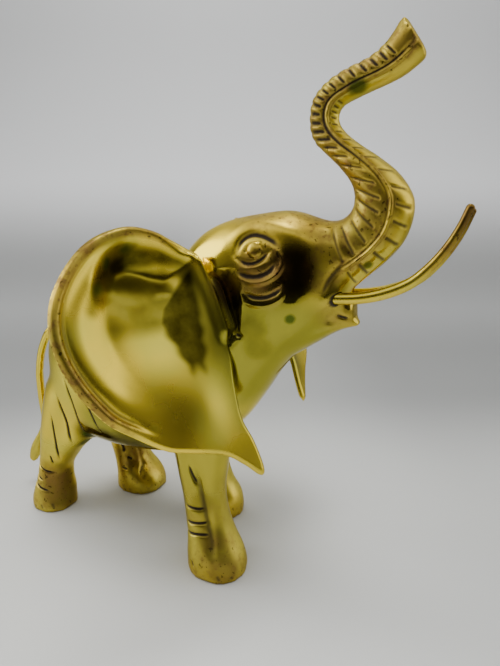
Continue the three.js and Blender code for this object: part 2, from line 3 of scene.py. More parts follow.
import logging
import math
from dataclasses import dataclass, field
from enum import Enum
from typing import Callable, Iterable, Optional, Sequence, Union

import bmesh
import bpy
import numpy as np
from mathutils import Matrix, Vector
from mathutils.bvhtree import BVHTree
from mathutils.kdtree import KDTree


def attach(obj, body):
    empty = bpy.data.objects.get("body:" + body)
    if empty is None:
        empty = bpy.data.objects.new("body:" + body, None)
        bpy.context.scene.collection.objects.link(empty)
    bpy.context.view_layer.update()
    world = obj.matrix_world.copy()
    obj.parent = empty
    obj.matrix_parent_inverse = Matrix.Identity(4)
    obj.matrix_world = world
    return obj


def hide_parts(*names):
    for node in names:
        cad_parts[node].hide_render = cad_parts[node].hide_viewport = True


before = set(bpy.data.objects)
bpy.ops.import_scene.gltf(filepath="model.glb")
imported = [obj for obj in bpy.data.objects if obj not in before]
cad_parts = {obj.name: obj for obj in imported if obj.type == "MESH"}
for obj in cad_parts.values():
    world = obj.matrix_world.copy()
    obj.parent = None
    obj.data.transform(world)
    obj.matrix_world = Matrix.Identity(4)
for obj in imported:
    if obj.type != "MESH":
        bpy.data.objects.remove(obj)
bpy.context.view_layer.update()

log = logging.getLogger("elephant")

MM = 0.001
HEIGHT = 220 * MM
PERCENT = HEIGHT / 100
# From the middle plane of the legs and the trunk to the middle of the figure's box.
FORM_SHIFT = np.array([6.555 * MM, -0.848 * MM, 0.0])
CASTING_NODE = "elephant_casting"
# A ray towards the figure starts this far from its middle plane, in hundredths of the height.
BESIDE_FIGURE = 40
# Edges sharper than this stay sharp.
SHARP_ANGLE = math.radians(48)


class Side(Enum):
    """The elephant's own sides, by the sign of y."""

    LEFT = 1
    RIGHT = -1


def place(hundredths: Sequence[float]) -> np.ndarray:
    """Gives the place in metres of a point in hundredths of the height.

    Args:
        hundredths: x, y and z.

    Returns:
        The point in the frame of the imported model.
    """
    return np.asarray(hundredths, float) * PERCENT + FORM_SHIFT


def rise(value: np.ndarray, low: float, high: float) -> np.ndarray:
    """Rises smoothly from 0 to 1 as value goes from low to high.

    Args:
        value: What is looked at.
        low: Where the rise starts.
        high: Where it ends.

    Returns:
        The share reached.
    """
    share = np.clip((np.asarray(value, float) - low) / (high - low), 0, 1)
    return share * share * (3 - 2 * share)


def swell(distance: np.ndarray, width: float) -> np.ndarray:
    """A soft bump that is 1 at no distance and falls off over a width."""
    return np.exp(-((np.asarray(distance, float) / width) ** 2))


def turns_round(sides: int) -> np.ndarray:
    """Even turns round a ring, from 0."""
    return np.arange(sides) / sides * 2 * np.pi


def row_at(rows: Sequence[Sequence[float]], shares: np.ndarray) -> np.ndarray:
    """Catmull-Rom values of every column of the rows.

    Args:
        rows: The rows, evenly spaced from 0 to 1.
        shares: Where the values are wanted, from 0 to 1.

    Returns:
        One line of values for each share.
    """
    table = np.asarray(rows, float)
    padded = np.vstack([2 * table[0] - table[1], table, 2 * table[-1] - table[-2]])
    position = np.clip(np.atleast_1d(shares), 0, 1) * (len(table) - 1)
    first = np.minimum(position.astype(int), len(table) - 2)
    u = (position - first)[:, None]
    before, start, end, after = (padded[first + step] for step in range(4))
    slope_in = (end - before) / 2
    slope_out = (after - start) / 2
    bend = 3 * (end - start) - 2 * slope_in - slope_out
    twist = 2 * (start - end) + slope_in + slope_out
    return start + u * (slope_in + u * (bend + u * twist))


def distance_to_path(points: np.ndarray, path: np.ndarray) -> tuple[np.ndarray, np.ndarray]:
    """Measures how far points are from a line of straight pieces.

    Args:
        points: The points, one a row, in two or three dimensions.
        path: The line's corners.

    Returns:
        The distance of each point, and the share of the line's length where it is nearest.
    """
    best = np.full(len(points), np.inf)
    share = np.zeros(len(points))
    lengths = np.linalg.norm(np.diff(path, axis=0), axis=1)
    total = max(lengths.sum(), 1e-12)
    done = 0.0
    for start, end, length in zip(path[:-1], path[1:], lengths):
        along = end - start
        t = np.clip((points - start) @ along / max(length**2, 1e-18), 0, 1)
        gap = np.linalg.norm(points - start - t[:, None] * along, axis=1)
        nearer = gap < best
        best = np.where(nearer, gap, best)
        share = np.where(nearer, (done + t * length) / total, share)
        done += length
    return best, share


def ring_faces(rings: int, sides: int, offset: int = 0) -> list[tuple[int, ...]]:
    """Four-sided faces between rings of points that each close on themselves.

    Args:
        rings: How many rings there are.
        sides: How many points each has.
        offset: The number of the first ring's first point.

    Returns:
        The faces.
    """
    faces = []
    for ring in range(rings - 1):
        low = offset + ring * sides
        for side in range(sides):
            following = (side + 1) % sides
            faces.append((low + side, low + following, low + sides + following, low + sides + side))
    return faces


@dataclass
class Shell:
    """A closed skin as plain arrays: its points and its faces."""

    points: np.ndarray
    faces: list[tuple[int, ...]]

    @classmethod
    def from_rings(cls, rings: np.ndarray) -> "Shell":
        """Makes a skin over rings of equal count, closed at either end.

        Args:
            rings: An array of rings, points and coordinates.

        Returns:
            The skin, with its faces pointing out.
        """
        count, sides, _ = rings.shape
        points = np.vstack([rings.reshape(-1, 3), rings[0].mean(0), rings[-1].mean(0)])
        faces = ring_faces(count, sides)
        last = (count - 1) * sides
        for side in range(sides):
            following = (side + 1) % sides
            faces.append((following, side, len(points) - 2))
            faces.append((last + side, last + following, len(points) - 1))
        shell = cls(points, faces)
        if shell.volume() < 0:
            shell.faces = [tuple(reversed(face)) for face in faces]
        return shell

    def volume(self) -> float:
        """The volume inside, negative if the faces point in."""
        total = 0.0
        for face in self.faces:
            corners = self.points[list(face)]
            for index in range(1, len(face) - 1):
                total += np.dot(corners[0], np.cross(corners[index], corners[index + 1]))
        return total / 6

    def joined(self, others: Iterable["Shell"]) -> "Shell":
        """This skin and others as one heap of faces."""
        points = [self.points]
        faces = list(self.faces)
        count = len(self.points)
        for other in others:
            points.append(other.points)
            faces += [tuple(corner + count for corner in face) for face in other.faces]
            count += len(other.points)
        return Shell(np.vstack(points), faces)

    def to_object(self, name: str) -> bpy.types.Object:
        """A new object of this skin, linked to the scene."""
        mesh = bpy.data.meshes.new(name)
        mesh.from_pydata(self.points.tolist(), [], self.faces)
        mesh.update()
        made = bpy.data.objects.new(name, mesh)
        bpy.context.scene.collection.objects.link(made)
        return made


@dataclass(frozen=True)
class Form:
    """A free form spanned by ribs, each with two edges in x and z, a middle y and a half-width.

    A turn of 0 is a rib's first edge, and a quarter turn is the left side.
    """

    ribs: Sequence[Sequence[float]]
    squareness: float = 2.2

    def frames(self, t: np.ndarray) -> tuple[np.ndarray, np.ndarray, np.ndarray]:
        """Gives the middle, the half rib and the half-width at shares of the form's length.

        Args:
            t: The shares, from 0 to 1.

        Returns:
            The middles, the reaches towards the first edge, and the half-widths, in metres.
        """
        rows = row_at(self.ribs, t) * PERCENT
        y = rows[:, 4]
        first = np.stack([rows[:, 0], y, rows[:, 1]], 1)
        second = np.stack([rows[:, 2], y, rows[:, 3]], 1)
        middle = (first + second) / 2
        return middle + FORM_SHIFT, first - middle, rows[:, 5]

    def points(self, t: np.ndarray, turns: np.ndarray) -> np.ndarray:
        """Gives points on the form.

        Args:
            t: Shares of the length, one for each point.
            turns: Turns round the form, one for each point.

        Returns:
            The points, one a row.
        """
        middle, reach, half_width = self.frames(t)
        power = 2 / self.squareness
        along = np.sign(np.cos(turns)) * np.abs(np.cos(turns)) ** power
        across = np.sign(np.sin(turns)) * np.abs(np.sin(turns)) ** power
        found = middle + reach * along[:, None]
        found[:, 1] += half_width * across
        return found

    def rings(self, steps: int, sides: int) -> np.ndarray:
        """Rings of points from the form's start to its end."""
        t, turns = np.meshgrid(np.linspace(0, 1, steps + 1), turns_round(sides), indexing="ij")
        return self.points(t.ravel(), turns.ravel()).reshape(steps + 1, sides, 3)

    def shell(self, steps: int, sides: int, start_cap: float = 0.0, end_cap: float = 0.0) -> Shell:
        """Makes the form's skin, with its ends rounded off.

        Args:
            steps: Steps along the form.
            sides: Points round it.
            start_cap: How far the start is rounded past its first rib, in metres.
            end_cap: How far the end is rounded past its last rib.

        Returns:
            The closed skin.
        """
        rings = self.rings(steps, sides)
        before = self.cap(rings[0], rings[0].mean(0) - rings[1].mean(0), start_cap)[::-1]
        after = self.cap(rings[-1], rings[-1].mean(0) - rings[-2].mean(0), end_cap)
        return Shell.from_rings(np.concatenate([before, rings, after]))

    @staticmethod
    def cap(ring: np.ndarray, outward: np.ndarray, depth: float) -> np.ndarray:
        """Rings that round an end off to the depth given."""
        if depth <= 0:
            return np.empty((0, *ring.shape))
        middle = ring.mean(0)
        outward = outward / np.linalg.norm(outward)
        angles = np.radians([15, 30, 45, 58, 70, 80])
        return np.stack([
            middle + (ring - middle) * math.cos(angle) + outward * depth * math.sin(angle)
            for angle in angles
        ])


def rod(path: Sequence[Sequence[float]], radii: Callable[[np.ndarray], np.ndarray], steps: int, sides: int,
        flatness: float = 1.0) -> Shell:
    """Makes a round rod along a smooth line.

    Args:
        path: Points of the middle line, in metres.
        radii: The radius at each share of the length.
        steps: Steps along the rod.
        sides: Points round it.
        flatness: Its thickness as a share of its width across.

    Returns:
        The closed skin, with its far end rounded.
    """
    fine = row_at(path, np.linspace(0, 1, 400))
    walked = np.concatenate([[0], np.cumsum(np.linalg.norm(np.diff(fine, axis=0), axis=1))])
    shares = np.linspace(0, 1, steps + 1)
    middles = np.stack([np.interp(shares * walked[-1], walked, fine[:, axis]) for axis in range(3)], 1)
    along = np.gradient(middles, axis=0)
    along /= np.linalg.norm(along, axis=1)[:, None]
    across = np.array([0.0, 1.0, 0.0]) - along * along[:, 1:2]
    across /= np.linalg.norm(across, axis=1)[:, None]
    upright = np.cross(along, across)
    radius = np.asarray(radii(shares), float)
    turns = turns_round(sides)
    circle = (
        across[:, None] * np.sin(turns)[None, :, None]
        + upright[:, None] * (np.cos(turns) * flatness)[None, :, None]
    )
    rings = middles[:, None] + circle * radius[:, None, None]
    tip = [
        middles[-1] + radius[-1] * (circle[-1] * math.cos(angle) + along[-1] * 0.85 * math.sin(angle))
        for angle in np.radians([20, 40, 58, 74, 85])
    ]
    return Shell.from_rings(np.concatenate([rings, np.stack(tip)]))


@dataclass
class Zone:
    """A round region of the figure, by its middle and its reach in hundredths of the height."""

    x: float
    y: float
    z: float
    reach: float
    strength: float = 1.0

    def weight(self, points: np.ndarray) -> np.ndarray:
        """How strongly the zone holds at each point, from 0 to its strength."""
        gap = np.linalg.norm(points - place([self.x, self.y, self.z]), axis=1) / PERCENT
        return self.strength * (1 - rise(gap, 0.45 * self.reach, self.reach))


def strongest(zones: Iterable[Zone], points: np.ndarray) -> np.ndarray:
    """The weight at each point of the zone that holds strongest there."""
    found = np.zeros(len(points))
    for zone in zones:
        found = np.maximum(found, zone.weight(points))
    return found


class Skin:
    """A mesh that is shaped by moving its vertices."""

    def __init__(self, thing: bpy.types.Object) -> None:
        """Reads the mesh of an object."""
        self.thing = thing
        self.read()

    def read(self) -> None:
        """Takes the points and the edges from the mesh."""
        mesh = self.thing.data
        points = np.empty(len(mesh.vertices) * 3, np.float32)
        mesh.vertices.foreach_get("co", points)
        self.points = points.reshape(-1, 3).astype(float)
        edges = np.empty(len(mesh.edges) * 2, np.int32)
        mesh.edges.foreach_get("vertices", edges)
        self.edges = edges.reshape(-1, 2)
        counts = np.bincount(self.edges.ravel(), minlength=len(self.points))
        self.neighbours = np.maximum(counts, 1)

    def write(self) -> None:
        """Puts the points back into the mesh."""
        self.thing.data.vertices.foreach_set("co", self.points.astype(np.float32).ravel())
        self.thing.data.update()

    def averages(self, values: np.ndarray) -> np.ndarray:
        """The mean of each vertex's neighbours, for one or more columns of values."""
        table = values.reshape(len(values), -1)
        a, b = self.edges.T
        size = len(values)
        sums = [
            np.bincount(a, table[b, column], size) + np.bincount(b, table[a, column], size)
            for column in range(table.shape[1])
        ]
        return (np.stack(sums, 1) / self.neighbours[:, None]).reshape(values.shape)

    def smooth(self, rounds: int, weights: Optional[np.ndarray] = None, step: float = 0.6) -> None:
        """Evens the skin out.

        Args:
            rounds: How many times each point moves towards its neighbours.
            weights: How much each point takes part, or None for all alike.
            step: The share of the way that is gone each time.
        """
        share = step if weights is None else (step * weights)[:, None]
        for _ in range(rounds):
            self.points += share * (self.averages(self.points) - self.points)

    def fair(self, rounds: int) -> None:
        """Takes small steps out of the skin without shrinking it."""
        for _ in range(rounds):
            self.smooth(1, step=0.5)
            self.smooth(1, step=-0.52)

    def normals(self) -> np.ndarray:
        """The outward direction at each vertex."""
        self.write()
        values = np.empty(len(self.points) * 3, np.float32)
        self.thing.data.vertex_normals.foreach_get("vector", values)
        return values.reshape(-1, 3).astype(float)

    def tree(self) -> BVHTree:
        """A search tree of the present faces."""
        self.write()
        bpy.context.view_layer.update()
        return BVHTree.FromObject(self.thing, bpy.context.evaluated_depsgraph_get())


def apply_modifier(thing: bpy.types.Object, kind: str, **settings: object) -> None:
    """Adds a modifier with its settings and applies it.

    Args:
        thing: The object to change.
        kind: The modifier's type.
        **settings: Its settings.
    """
    modifier = thing.modifiers.new(kind.lower(), kind)
    for name, value in settings.items():
        setattr(modifier, name, value)
    bpy.context.view_layer.update()
    graph = bpy.context.evaluated_depsgraph_get()
    made = bpy.data.meshes.new_from_object(thing.evaluated_get(graph))
    thing.modifiers.clear()
    old = thing.data
    thing.data = made
    bpy.data.meshes.remove(old)


def refine(thing: bpy.types.Object, chosen: np.ndarray) -> None:
    """Cuts every edge whose two ends are chosen in half.

    Args:
        thing: The object to change.
        chosen: True for each vertex that is chosen.
    """
    work = bmesh.new()
    work.from_mesh(thing.data)
    work.verts.ensure_lookup_table()
    edges = [edge for edge in work.edges if chosen[edge.verts[0].index] and chosen[edge.verts[1].index]]
    bmesh.ops.subdivide_edges(work, edges=edges, cuts=1, use_grid_fill=True)
    bmesh.ops.triangulate(work, faces=[face for face in work.faces if len(face.verts) > 4])
    work.to_mesh(thing.data)
    work.free()
    thing.data.update()


@dataclass
class Stroke:
    """A line carved into the skin, or raised on it.

    The path is in x and z as hundredths of the height, seen from the side given. A depth below 0 raises the
    line. The width and the depth are in millimetres, and the grime is how dark the line has become.
    """

    path: Sequence[tuple[float, float]]
    width: float
    depth: float
    grime: float = 1.0
    taper: float = 0.25
    side: Side = Side.RIGHT

    def route(self, tree: BVHTree) -> np.ndarray:
        """Lays the line on the skin.

        Args:
            tree: The skin's search tree.

        Returns:
            Close-set points on the skin.
        """
        flat = row_at(self.path, np.linspace(0, 1, 6 * len(self.path)))
        sign = self.side.value
        found = []
        for x, z in flat:
            start = place([x, BESIDE_FIGURE * sign, z])
            hit, _, _, _ = tree.ray_cast(Vector(start), Vector((0, -sign, 0)))
            if hit is not None:
                found.append(np.array(hit))
        return np.array(found)

    def profile(self, points: np.ndarray, route: np.ndarray) -> np.ndarray:
        """How much of the stroke's depth is reached at each point, from 0 to 1."""
        reached = np.zeros(len(points))
        if len(route) < 2:
            return reached
        reach = 1.6 * self.width * MM
        low = route.min(0) - reach
        high = route.max(0) + reach
        near = np.all((points > low) & (points < high), axis=1)
        if near.any():
            gap, share = distance_to_path(points[near], route)
            ends = rise(share, -0.02, self.taper) * rise(1 - share, -0.02, self.taper)
            reached[near] = swell(gap, 0.55 * self.width * MM) * (0.25 + 0.75 * ends)
        return reached


BODY_RIBS = (
    (-37.0, 46.0, -36.4, 31.0, 0, 6.8),
    (-34.8, 48.8, -34.2, 24.0, 0, 9.6),
    (-29.8, 51.2, -29.6, 20.0, 0, 11.8),
    (-22.4, 53.0, -21.6, 18.9, 0, 12.8),
    (-12.4, 54.0, -11.6, 19.3, 0, 12.8),
    (-5.2, 55.6, -1.8, 21.2, 0, 12.2),
    (-3.4, 58.6, 4.4, 25.0, 0, 11.3),
    (-3.8, 61.6, 9.4, 30.0, 0, 10.5),
    (-2.2, 64.2, 13.4, 35.8, 0, 9.9),
    (1.6, 67.4, 16.6, 41.0, 0, 9.5),
    (6.3, 69.5, 19.4, 44.6, 0, 9.3),
    (12.6, 70.8, 22.4, 47.4, 0, 9.2),
    (18.6, 71.4, 25.2, 50.2, 0, 8.6),
    (23.0, 70.3, 27.0, 53.6, 0, 7.6),
)
TRUNK_RIBS = (
    (19.6, 70.6, 26.6, 54.6, 0, 7.2),
    (25.3, 69.7, 30.2, 58.3, 0, 6.1),
    (27.4, 69.9, 32.4, 60.4, 0, 5.4),
    (28.9, 71.0, 35.4, 63.2, 0, 5.2),
    (29.6, 72.6, 37.9, 66.4, 0, 5.2),
    (29.5, 74.4, 39.1, 70.0, 0, 5.3),
    (28.8, 76.1, 39.0, 73.6, 0, 5.2),
    (26.9, 78.3, 36.6, 77.2, 0, 4.9),
    (25.0, 80.0, 33.2, 79.9, 0, 4.2),
    (22.7, 82.1, 29.6, 82.2, 0, 3.5),
    (21.6, 84.1, 27.1, 84.2, 0, 2.8),
    (21.3, 86.6, 26.1, 85.8, 0, 2.4),
    (21.7, 89.0, 26.2, 87.0, 0, 2.4),
    (22.9, 90.7, 26.9, 88.0, 0, 2.4),
    (24.8, 92.2, 28.6, 88.8, 0, 2.5),
    (27.5, 93.5, 30.9, 89.7, 0, 2.6),
    (30.1, 94.4, 33.8, 90.7, 0, 2.6),
    (32.2, 95.6, 36.1, 91.7, 0, 2.7),
    (33.5, 97.0, 38.2, 93.1, 0, 2.9),
    (34.6, 98.6, 40.6, 95.2, 0, 3.2),
    (36.4, 101.6, 42.0, 98.2, 0, 3.3),
)
JAW_RIBS = (
    (15.0, 55.6, 19.8, 44.8, 0, 6.4),
    (20.6, 54.4, 23.8, 47.6, 0, 5.4),
    (25.2, 53.9, 27.2, 50.0, 0, 4.1),
    (28.6, 53.6, 29.6, 51.2, 0, 2.9),
    (30.6, 52.9, 31.0, 51.5, 0, 1.7),
)
LIP_RIBS = (
    (26.0, 58.6, 26.0, 52.6, 0, 4.2),
    (28.4, 57.8, 28.6, 52.2, 0, 3.7),
    (30.2, 56.8, 30.6, 51.8, 0, 2.6),
)
RIGHT_HIND_RIBS = (
    (-45.9, 0, -35.5, 0, -6.2, 5.0),
    (-45.8, 2.2, -35.6, 2.2, -6.2, 5.0),
    (-44.8, 5.0, -35.4, 4.6, -6.2, 4.8),
    (-43.6, 8.4, -35.6, 7.8, -6.2, 4.2),
    (-42.4, 13.2, -35.0, 11.4, -6.1, 4.1),
    (-41.4, 18.2, -31.8, 15.6, -6.0, 4.8),
    (-40.4, 24.4, -26.8, 21.4, -5.8, 5.6),
    (-38.4, 33.0, -25.2, 30.6, -5.2, 6.0),
)
LEFT_HIND_RIBS = (
    (-32.8, 0, -20.2, 0, 10.2, 5.9),
    (-32.6, 2.2, -20.4, 2.2, 10.2, 6.0),
    (-32.6, 5.2, -21.6, 4.6, 10.2, 5.6),
    (-33.4, 9.4, -24.8, 8.2, 10.1, 4.8),
    (-34.6, 14.6, -25.0, 13.4, 9.6, 5.0),
    (-36.0, 22.2, -24.0, 20.6, 8.4, 5.4),
    (-37.2, 31.4, -23.8, 29.6, 6.4, 5.8),
)
RIGHT_FRONT_RIBS = (
    (0.9, 0, 13.1, 0, -9.3, 5.6),
    (0.9, 2.2, 13.0, 2.2, -9.3, 5.6),
    (0.9, 4.6, 12.2, 4.6, -9.3, 5.5),
    (0.9, 7.8, 10.6, 8.0, -9.2, 4.8),
    (0.4, 11.8, 9.0, 12.4, -9.0, 4.3),
    (-0.5, 17.0, 8.2, 17.8, -8.6, 4.4),
    (-2.6, 24.0, 9.0, 25.0, -7.8, 5.0),
    (-5.2, 32.6, 10.0, 34.0, -6.8, 5.4),
)
LEFT_FRONT_RIBS = (
    (-7.9, 0, 3.6, 0, 8.8, 5.4),
    (-7.8, 2.2, 3.6, 2.2, 8.8, 5.4),
    (-7.8, 4.8, 3.0, 5.0, 8.8, 5.2),
    (-7.8, 8.2, 1.0, 8.8, 8.7, 4.5),
    (-7.8, 12.8, 0.0, 13.6, 8.5, 4.3),
    (-7.6, 19.6, 1.8, 20.4, 8.0, 4.7),
    (-6.8, 30.2, 5.6, 32.4, 6.8, 5.4),
)
TAIL_PATH = (
    (-36.0, 0, 43.4),
    (-42.4, 0, 42.8),
    (-46.2, 0, 38.4),
    (-48.3, 0, 31.6),
    (-48.6, 0, 24.8),
    (-48.4, 0, 17.8),
    (-50.8, -0.4, 11.8),
    (-53.2, -0.8, 6.6),
)
EAR_OUTLINE = (
    (0, 0), (4.2, 2.7), (7.4, 4.5), (11.7, 5.5), (16.3, 4.6), (20.0, 2.7), (23.2, -0.3), (25.7, -3.7),
    (27.2, -7.0), (27.8, -10.7), (27.5, -14.5), (26.4, -18.2), (24.5, -22.1), (21.9, -25.8), (18.7, -28.5),
    (13.5, -32.3), (9.6, -33.8), (3.2, -36.0), (-0.4, -38.7), (-3.4, -41.6), (-4.5, -40.6), (-3.6, -35.3),
    (-2.1, -30.7), (-2.1, -24.7), (-2.8, -17.5), (-1.8, -8.0),
)
# Places of green spots with their reach.
VERDIGRIS_SPOTS = (
    (21.2, -7.9, 53.5, 1.3), (-4.3, -24.5, 51.3, 1.3), (1.9, -27.9, 39.3, 1.7), (-28.9, -6.7, 19.5, 2.4),
    (4.2, -25.8, 37.2, 1.7), (33.1, -3.8, 62.9, 1.3), (29.5, -2.5, 90.0, 2.2), (-24.0, 11.0, 40.0, 2.5),
    (-10.0, 4.0, 21.0, 3.0), (-4.9, -21.9, 63.1, 2.0), (-5.4, -25.7, 59.4, 2.2), (-4.4, -18.2, 65.0, 1.8),
    (4.3, -25.5, 37.1, 2.0), (-26.1, -7.8, 22.6, 2.4),
)


@dataclass
class Trunk:
    """The raised trunk, with beads up its back, a cord-like ridge on either side and strokes in front."""

    form: Form = field(default_factory=lambda: Form(TRUNK_RIBS, 2.2))
    fan_start: float = 0.07
    beads_start: float = 0.40
    beads_end: float = 0.875
    fan_strokes: int = 8
    beads: int = 15
    ridge_turn: float = math.radians(112)
    ridge_height: float = 0.7
    ridge_width: float = 0.66
    line_depth: float = 0.5
    line_gap: float = 1.1
    line_width: float = 0.5
    groove_depth: float = 0.5
    groove_width: float = 0.75
    mouth: tuple[float, float, float] = (37.55, 0.0, 97.25)
    mouth_tilt: float = math.radians(34)

    def mouth_plane(self) -> tuple[np.ndarray, np.ndarray]:
        """A point on the mouth's flat face, and the way that it faces."""
        return place(self.mouth), np.array([math.cos(self.mouth_tilt), 0.0, math.sin(self.mouth_tilt)])

    def shell(self) -> Shell:
        """The trunk's plain skin, cut off slanting at its mouth."""
        rings = self.form.rings(240, 56)
        middle, facing = self.mouth_plane()
        beyond = (rings - middle) @ facing
        for side in range(rings.shape[1]):
            column = beyond[:, side]
            first = int(np.argmax(column > 0))
            share = column[first - 1] / (column[first - 1] - column[first])
            crossing = rings[first - 1, side] + share * (rings[first, side] - rings[first - 1, side])
            rings[first:, side] = crossing
        return Shell.from_rings(rings)

    def addresses(self, points: np.ndarray) -> tuple[np.ndarray, np.ndarray, np.ndarray]:
        """Finds where points lie on the trunk.

        Args:
            points: Points near the trunk's skin.

        Returns:
            The shares of the length, the turns, and the distances from the plain form.
        """
        steps, sides = 420, 96
        t, turns = np.meshgrid(np.linspace(0, 1, steps), turns_round(sides), indexing="ij")
        t, turns = t.ravel(), turns.ravel()
        grid = self.form.points(t, turns)
        tree = KDTree(len(grid))
        for index, point in enumerate(grid):
            tree.insert(point, index)
        tree.balance()
        nearest = np.array([tree.find(point)[1] for point in points])
        here_t, here_turn = t[nearest], turns[nearest]
        small_t, small_turn = 0.5 / steps, math.pi / sides
        base = self.form.points(here_t, here_turn)
        by_t = (self.form.points(np.minimum(here_t + small_t, 1), here_turn) - base) / small_t
        by_turn = (self.form.points(here_t, here_turn + small_turn) - base) / small_turn
        gap = points - base
        tt = np.einsum("ij,ij->i", by_t, by_t) + 1e-12
        ss = np.einsum("ij,ij->i", by_turn, by_turn) + 1e-12
        ts = np.einsum("ij,ij->i", by_t, by_turn)
        gt = np.einsum("ij,ij->i", gap, by_t)
        gs = np.einsum("ij,ij->i", gap, by_turn)
        scale = np.maximum(tt * ss - ts**2, 1e-3 * tt * ss)
        step_t = np.clip((gt * ss - gs * ts) / scale, -1.0 / steps, 1.0 / steps)
        step_turn = np.clip((gs * tt - gt * ts) / scale, -2 * math.pi / sides, 2 * math.pi / sides)
        return here_t + step_t, here_turn + step_turn, np.linalg.norm(gap, axis=1)

    def relief(self, points: np.ndarray) -> tuple[np.ndarray, np.ndarray, np.ndarray]:
        """Works out the carving at each point.

        Args:
            points: Points near the trunk's skin.

        Returns:
            How far each point is pushed out in metres, its grime, and how far it is on the front.
        """
        t, turn, off = self.addresses(points)
        _, reach, half_width = self.form.frames(t)
        turn = np.mod(turn, 2 * math.pi)
        away = np.where(turn > math.pi, 2 * math.pi - turn, turn)
        around = np.hypot(np.linalg.norm(reach, axis=1), half_width) / math.sqrt(2) / MM
        from_ridge = (away - self.ridge_turn) * around
        close = 1 - rise(off, 2.0 * MM, 3.5 * MM)
        worked = rise(t, 0.03, 0.08) * (1 - rise(t, 0.885, 0.93)) * close
        line = swell(from_ridge + self.line_gap, self.line_width * (1 + 0.9 * swell(t - 0.47, 0.1)))
        faint = swell(from_ridge - self.line_gap, 0.7 * self.line_width)
        push = self.ridge_height * swell(from_ridge, self.ridge_width)
        push -= self.line_depth * (line + 0.3 * faint)
        grime = np.maximum((0.5 + 0.3 * rise(t, 0.3, 0.45)) * line, 0.35 * faint)
        phase, spacing, inside = self.segments(t)
        local = np.abs(phase - np.round(phase)) * spacing
        wide = 1.1 + 0.8 * swell(t - 0.46, 0.07) - 0.3 * swell(t - 0.66, 0.08)
        groove = swell(local, self.groove_width * wide) * inside
        long = rise(t, self.beads_start, self.beads_start + 0.08)
        bead = (1 - (2 * (phase - np.floor(phase)) - 1) ** 2) * inside * long
        from_back = rise(away, 0.45, 1.0)
        short = 1.6 * (1 - long) * rise(t, 0.12, 0.2)
        before_line = 1 - rise(from_ridge, -self.line_gap - 1.6 - short, -self.line_gap - 0.5 - short)
        push += 0.28 * before_line * bead
        push -= self.groove_depth * before_line * (0.1 + 0.9 * from_back) * groove
        browned = (0.64 + 0.16 * long) * (0.35 + 0.65 * from_back)
        grime = np.maximum(grime, browned * before_line * groove)
        dashes = rise(from_ridge, self.line_gap + 0.2, self.line_gap + 1.0)
        dashes *= (1 - rise(away, self.ridge_turn + 0.75, self.ridge_turn + 1.1)) * inside
        dashes *= (1 - rise(t, 0.66, 0.7)) * swell(local, 0.75)
        push -= 0.4 * dashes
        grime = np.maximum(grime, 0.62 * dashes)
        to_pit = swell(from_ridge + self.line_gap, 0.9 + 0.4 * rise(t, 0.95, 0.99))
        to_pit = to_pit * rise(t, 0.88, 0.92) * close
        push = push * worked - 0.55 * to_pit
        grime = np.maximum(grime * worked, to_pit * (0.4 + 0.6 * rise(t, 0.945, 0.98)))
        front = rise(away, self.ridge_turn + 0.1, self.ridge_turn + 0.5) * close * (1 - rise(t, 0.9, 0.96))
        return push * MM, grime, front

    def segments(self, t: np.ndarray) -> tuple[np.ndarray, np.ndarray, np.ndarray]:
        """Numbers the segments between the grooves.

        Args:
            t: Shares of the trunk's length.

        Returns:
            The number of grooves passed, the spacing in millimetres, and 1 where there are grooves.
        """
        fan_share = (t - self.fan_start) / (self.beads_start - self.fan_start)
        bead_share = (t - self.beads_start) / (self.beads_end - self.beads_start)
        phase = np.where(t < self.beads_start, fan_share * self.fan_strokes, bead_share * self.beads)
        fine = self.form.frames(np.linspace(0, 1, 400))[0]
        lengths = np.linalg.norm(np.diff(fine, axis=0), axis=1) * 399 / MM
        speed = np.interp(t, np.linspace(0, 1, 399), lengths)
        per_fan = (self.beads_start - self.fan_start) / self.fan_strokes
        per_bead = (self.beads_end - self.beads_start) / self.beads
        spacing = speed * np.where(t < self.beads_start, per_fan, per_bead)
        inside = rise(t, self.fan_start - 0.01, self.fan_start)
        inside = inside * (1 - rise(t, self.beads_end, self.beads_end + 0.01))
        return phase, spacing, inside


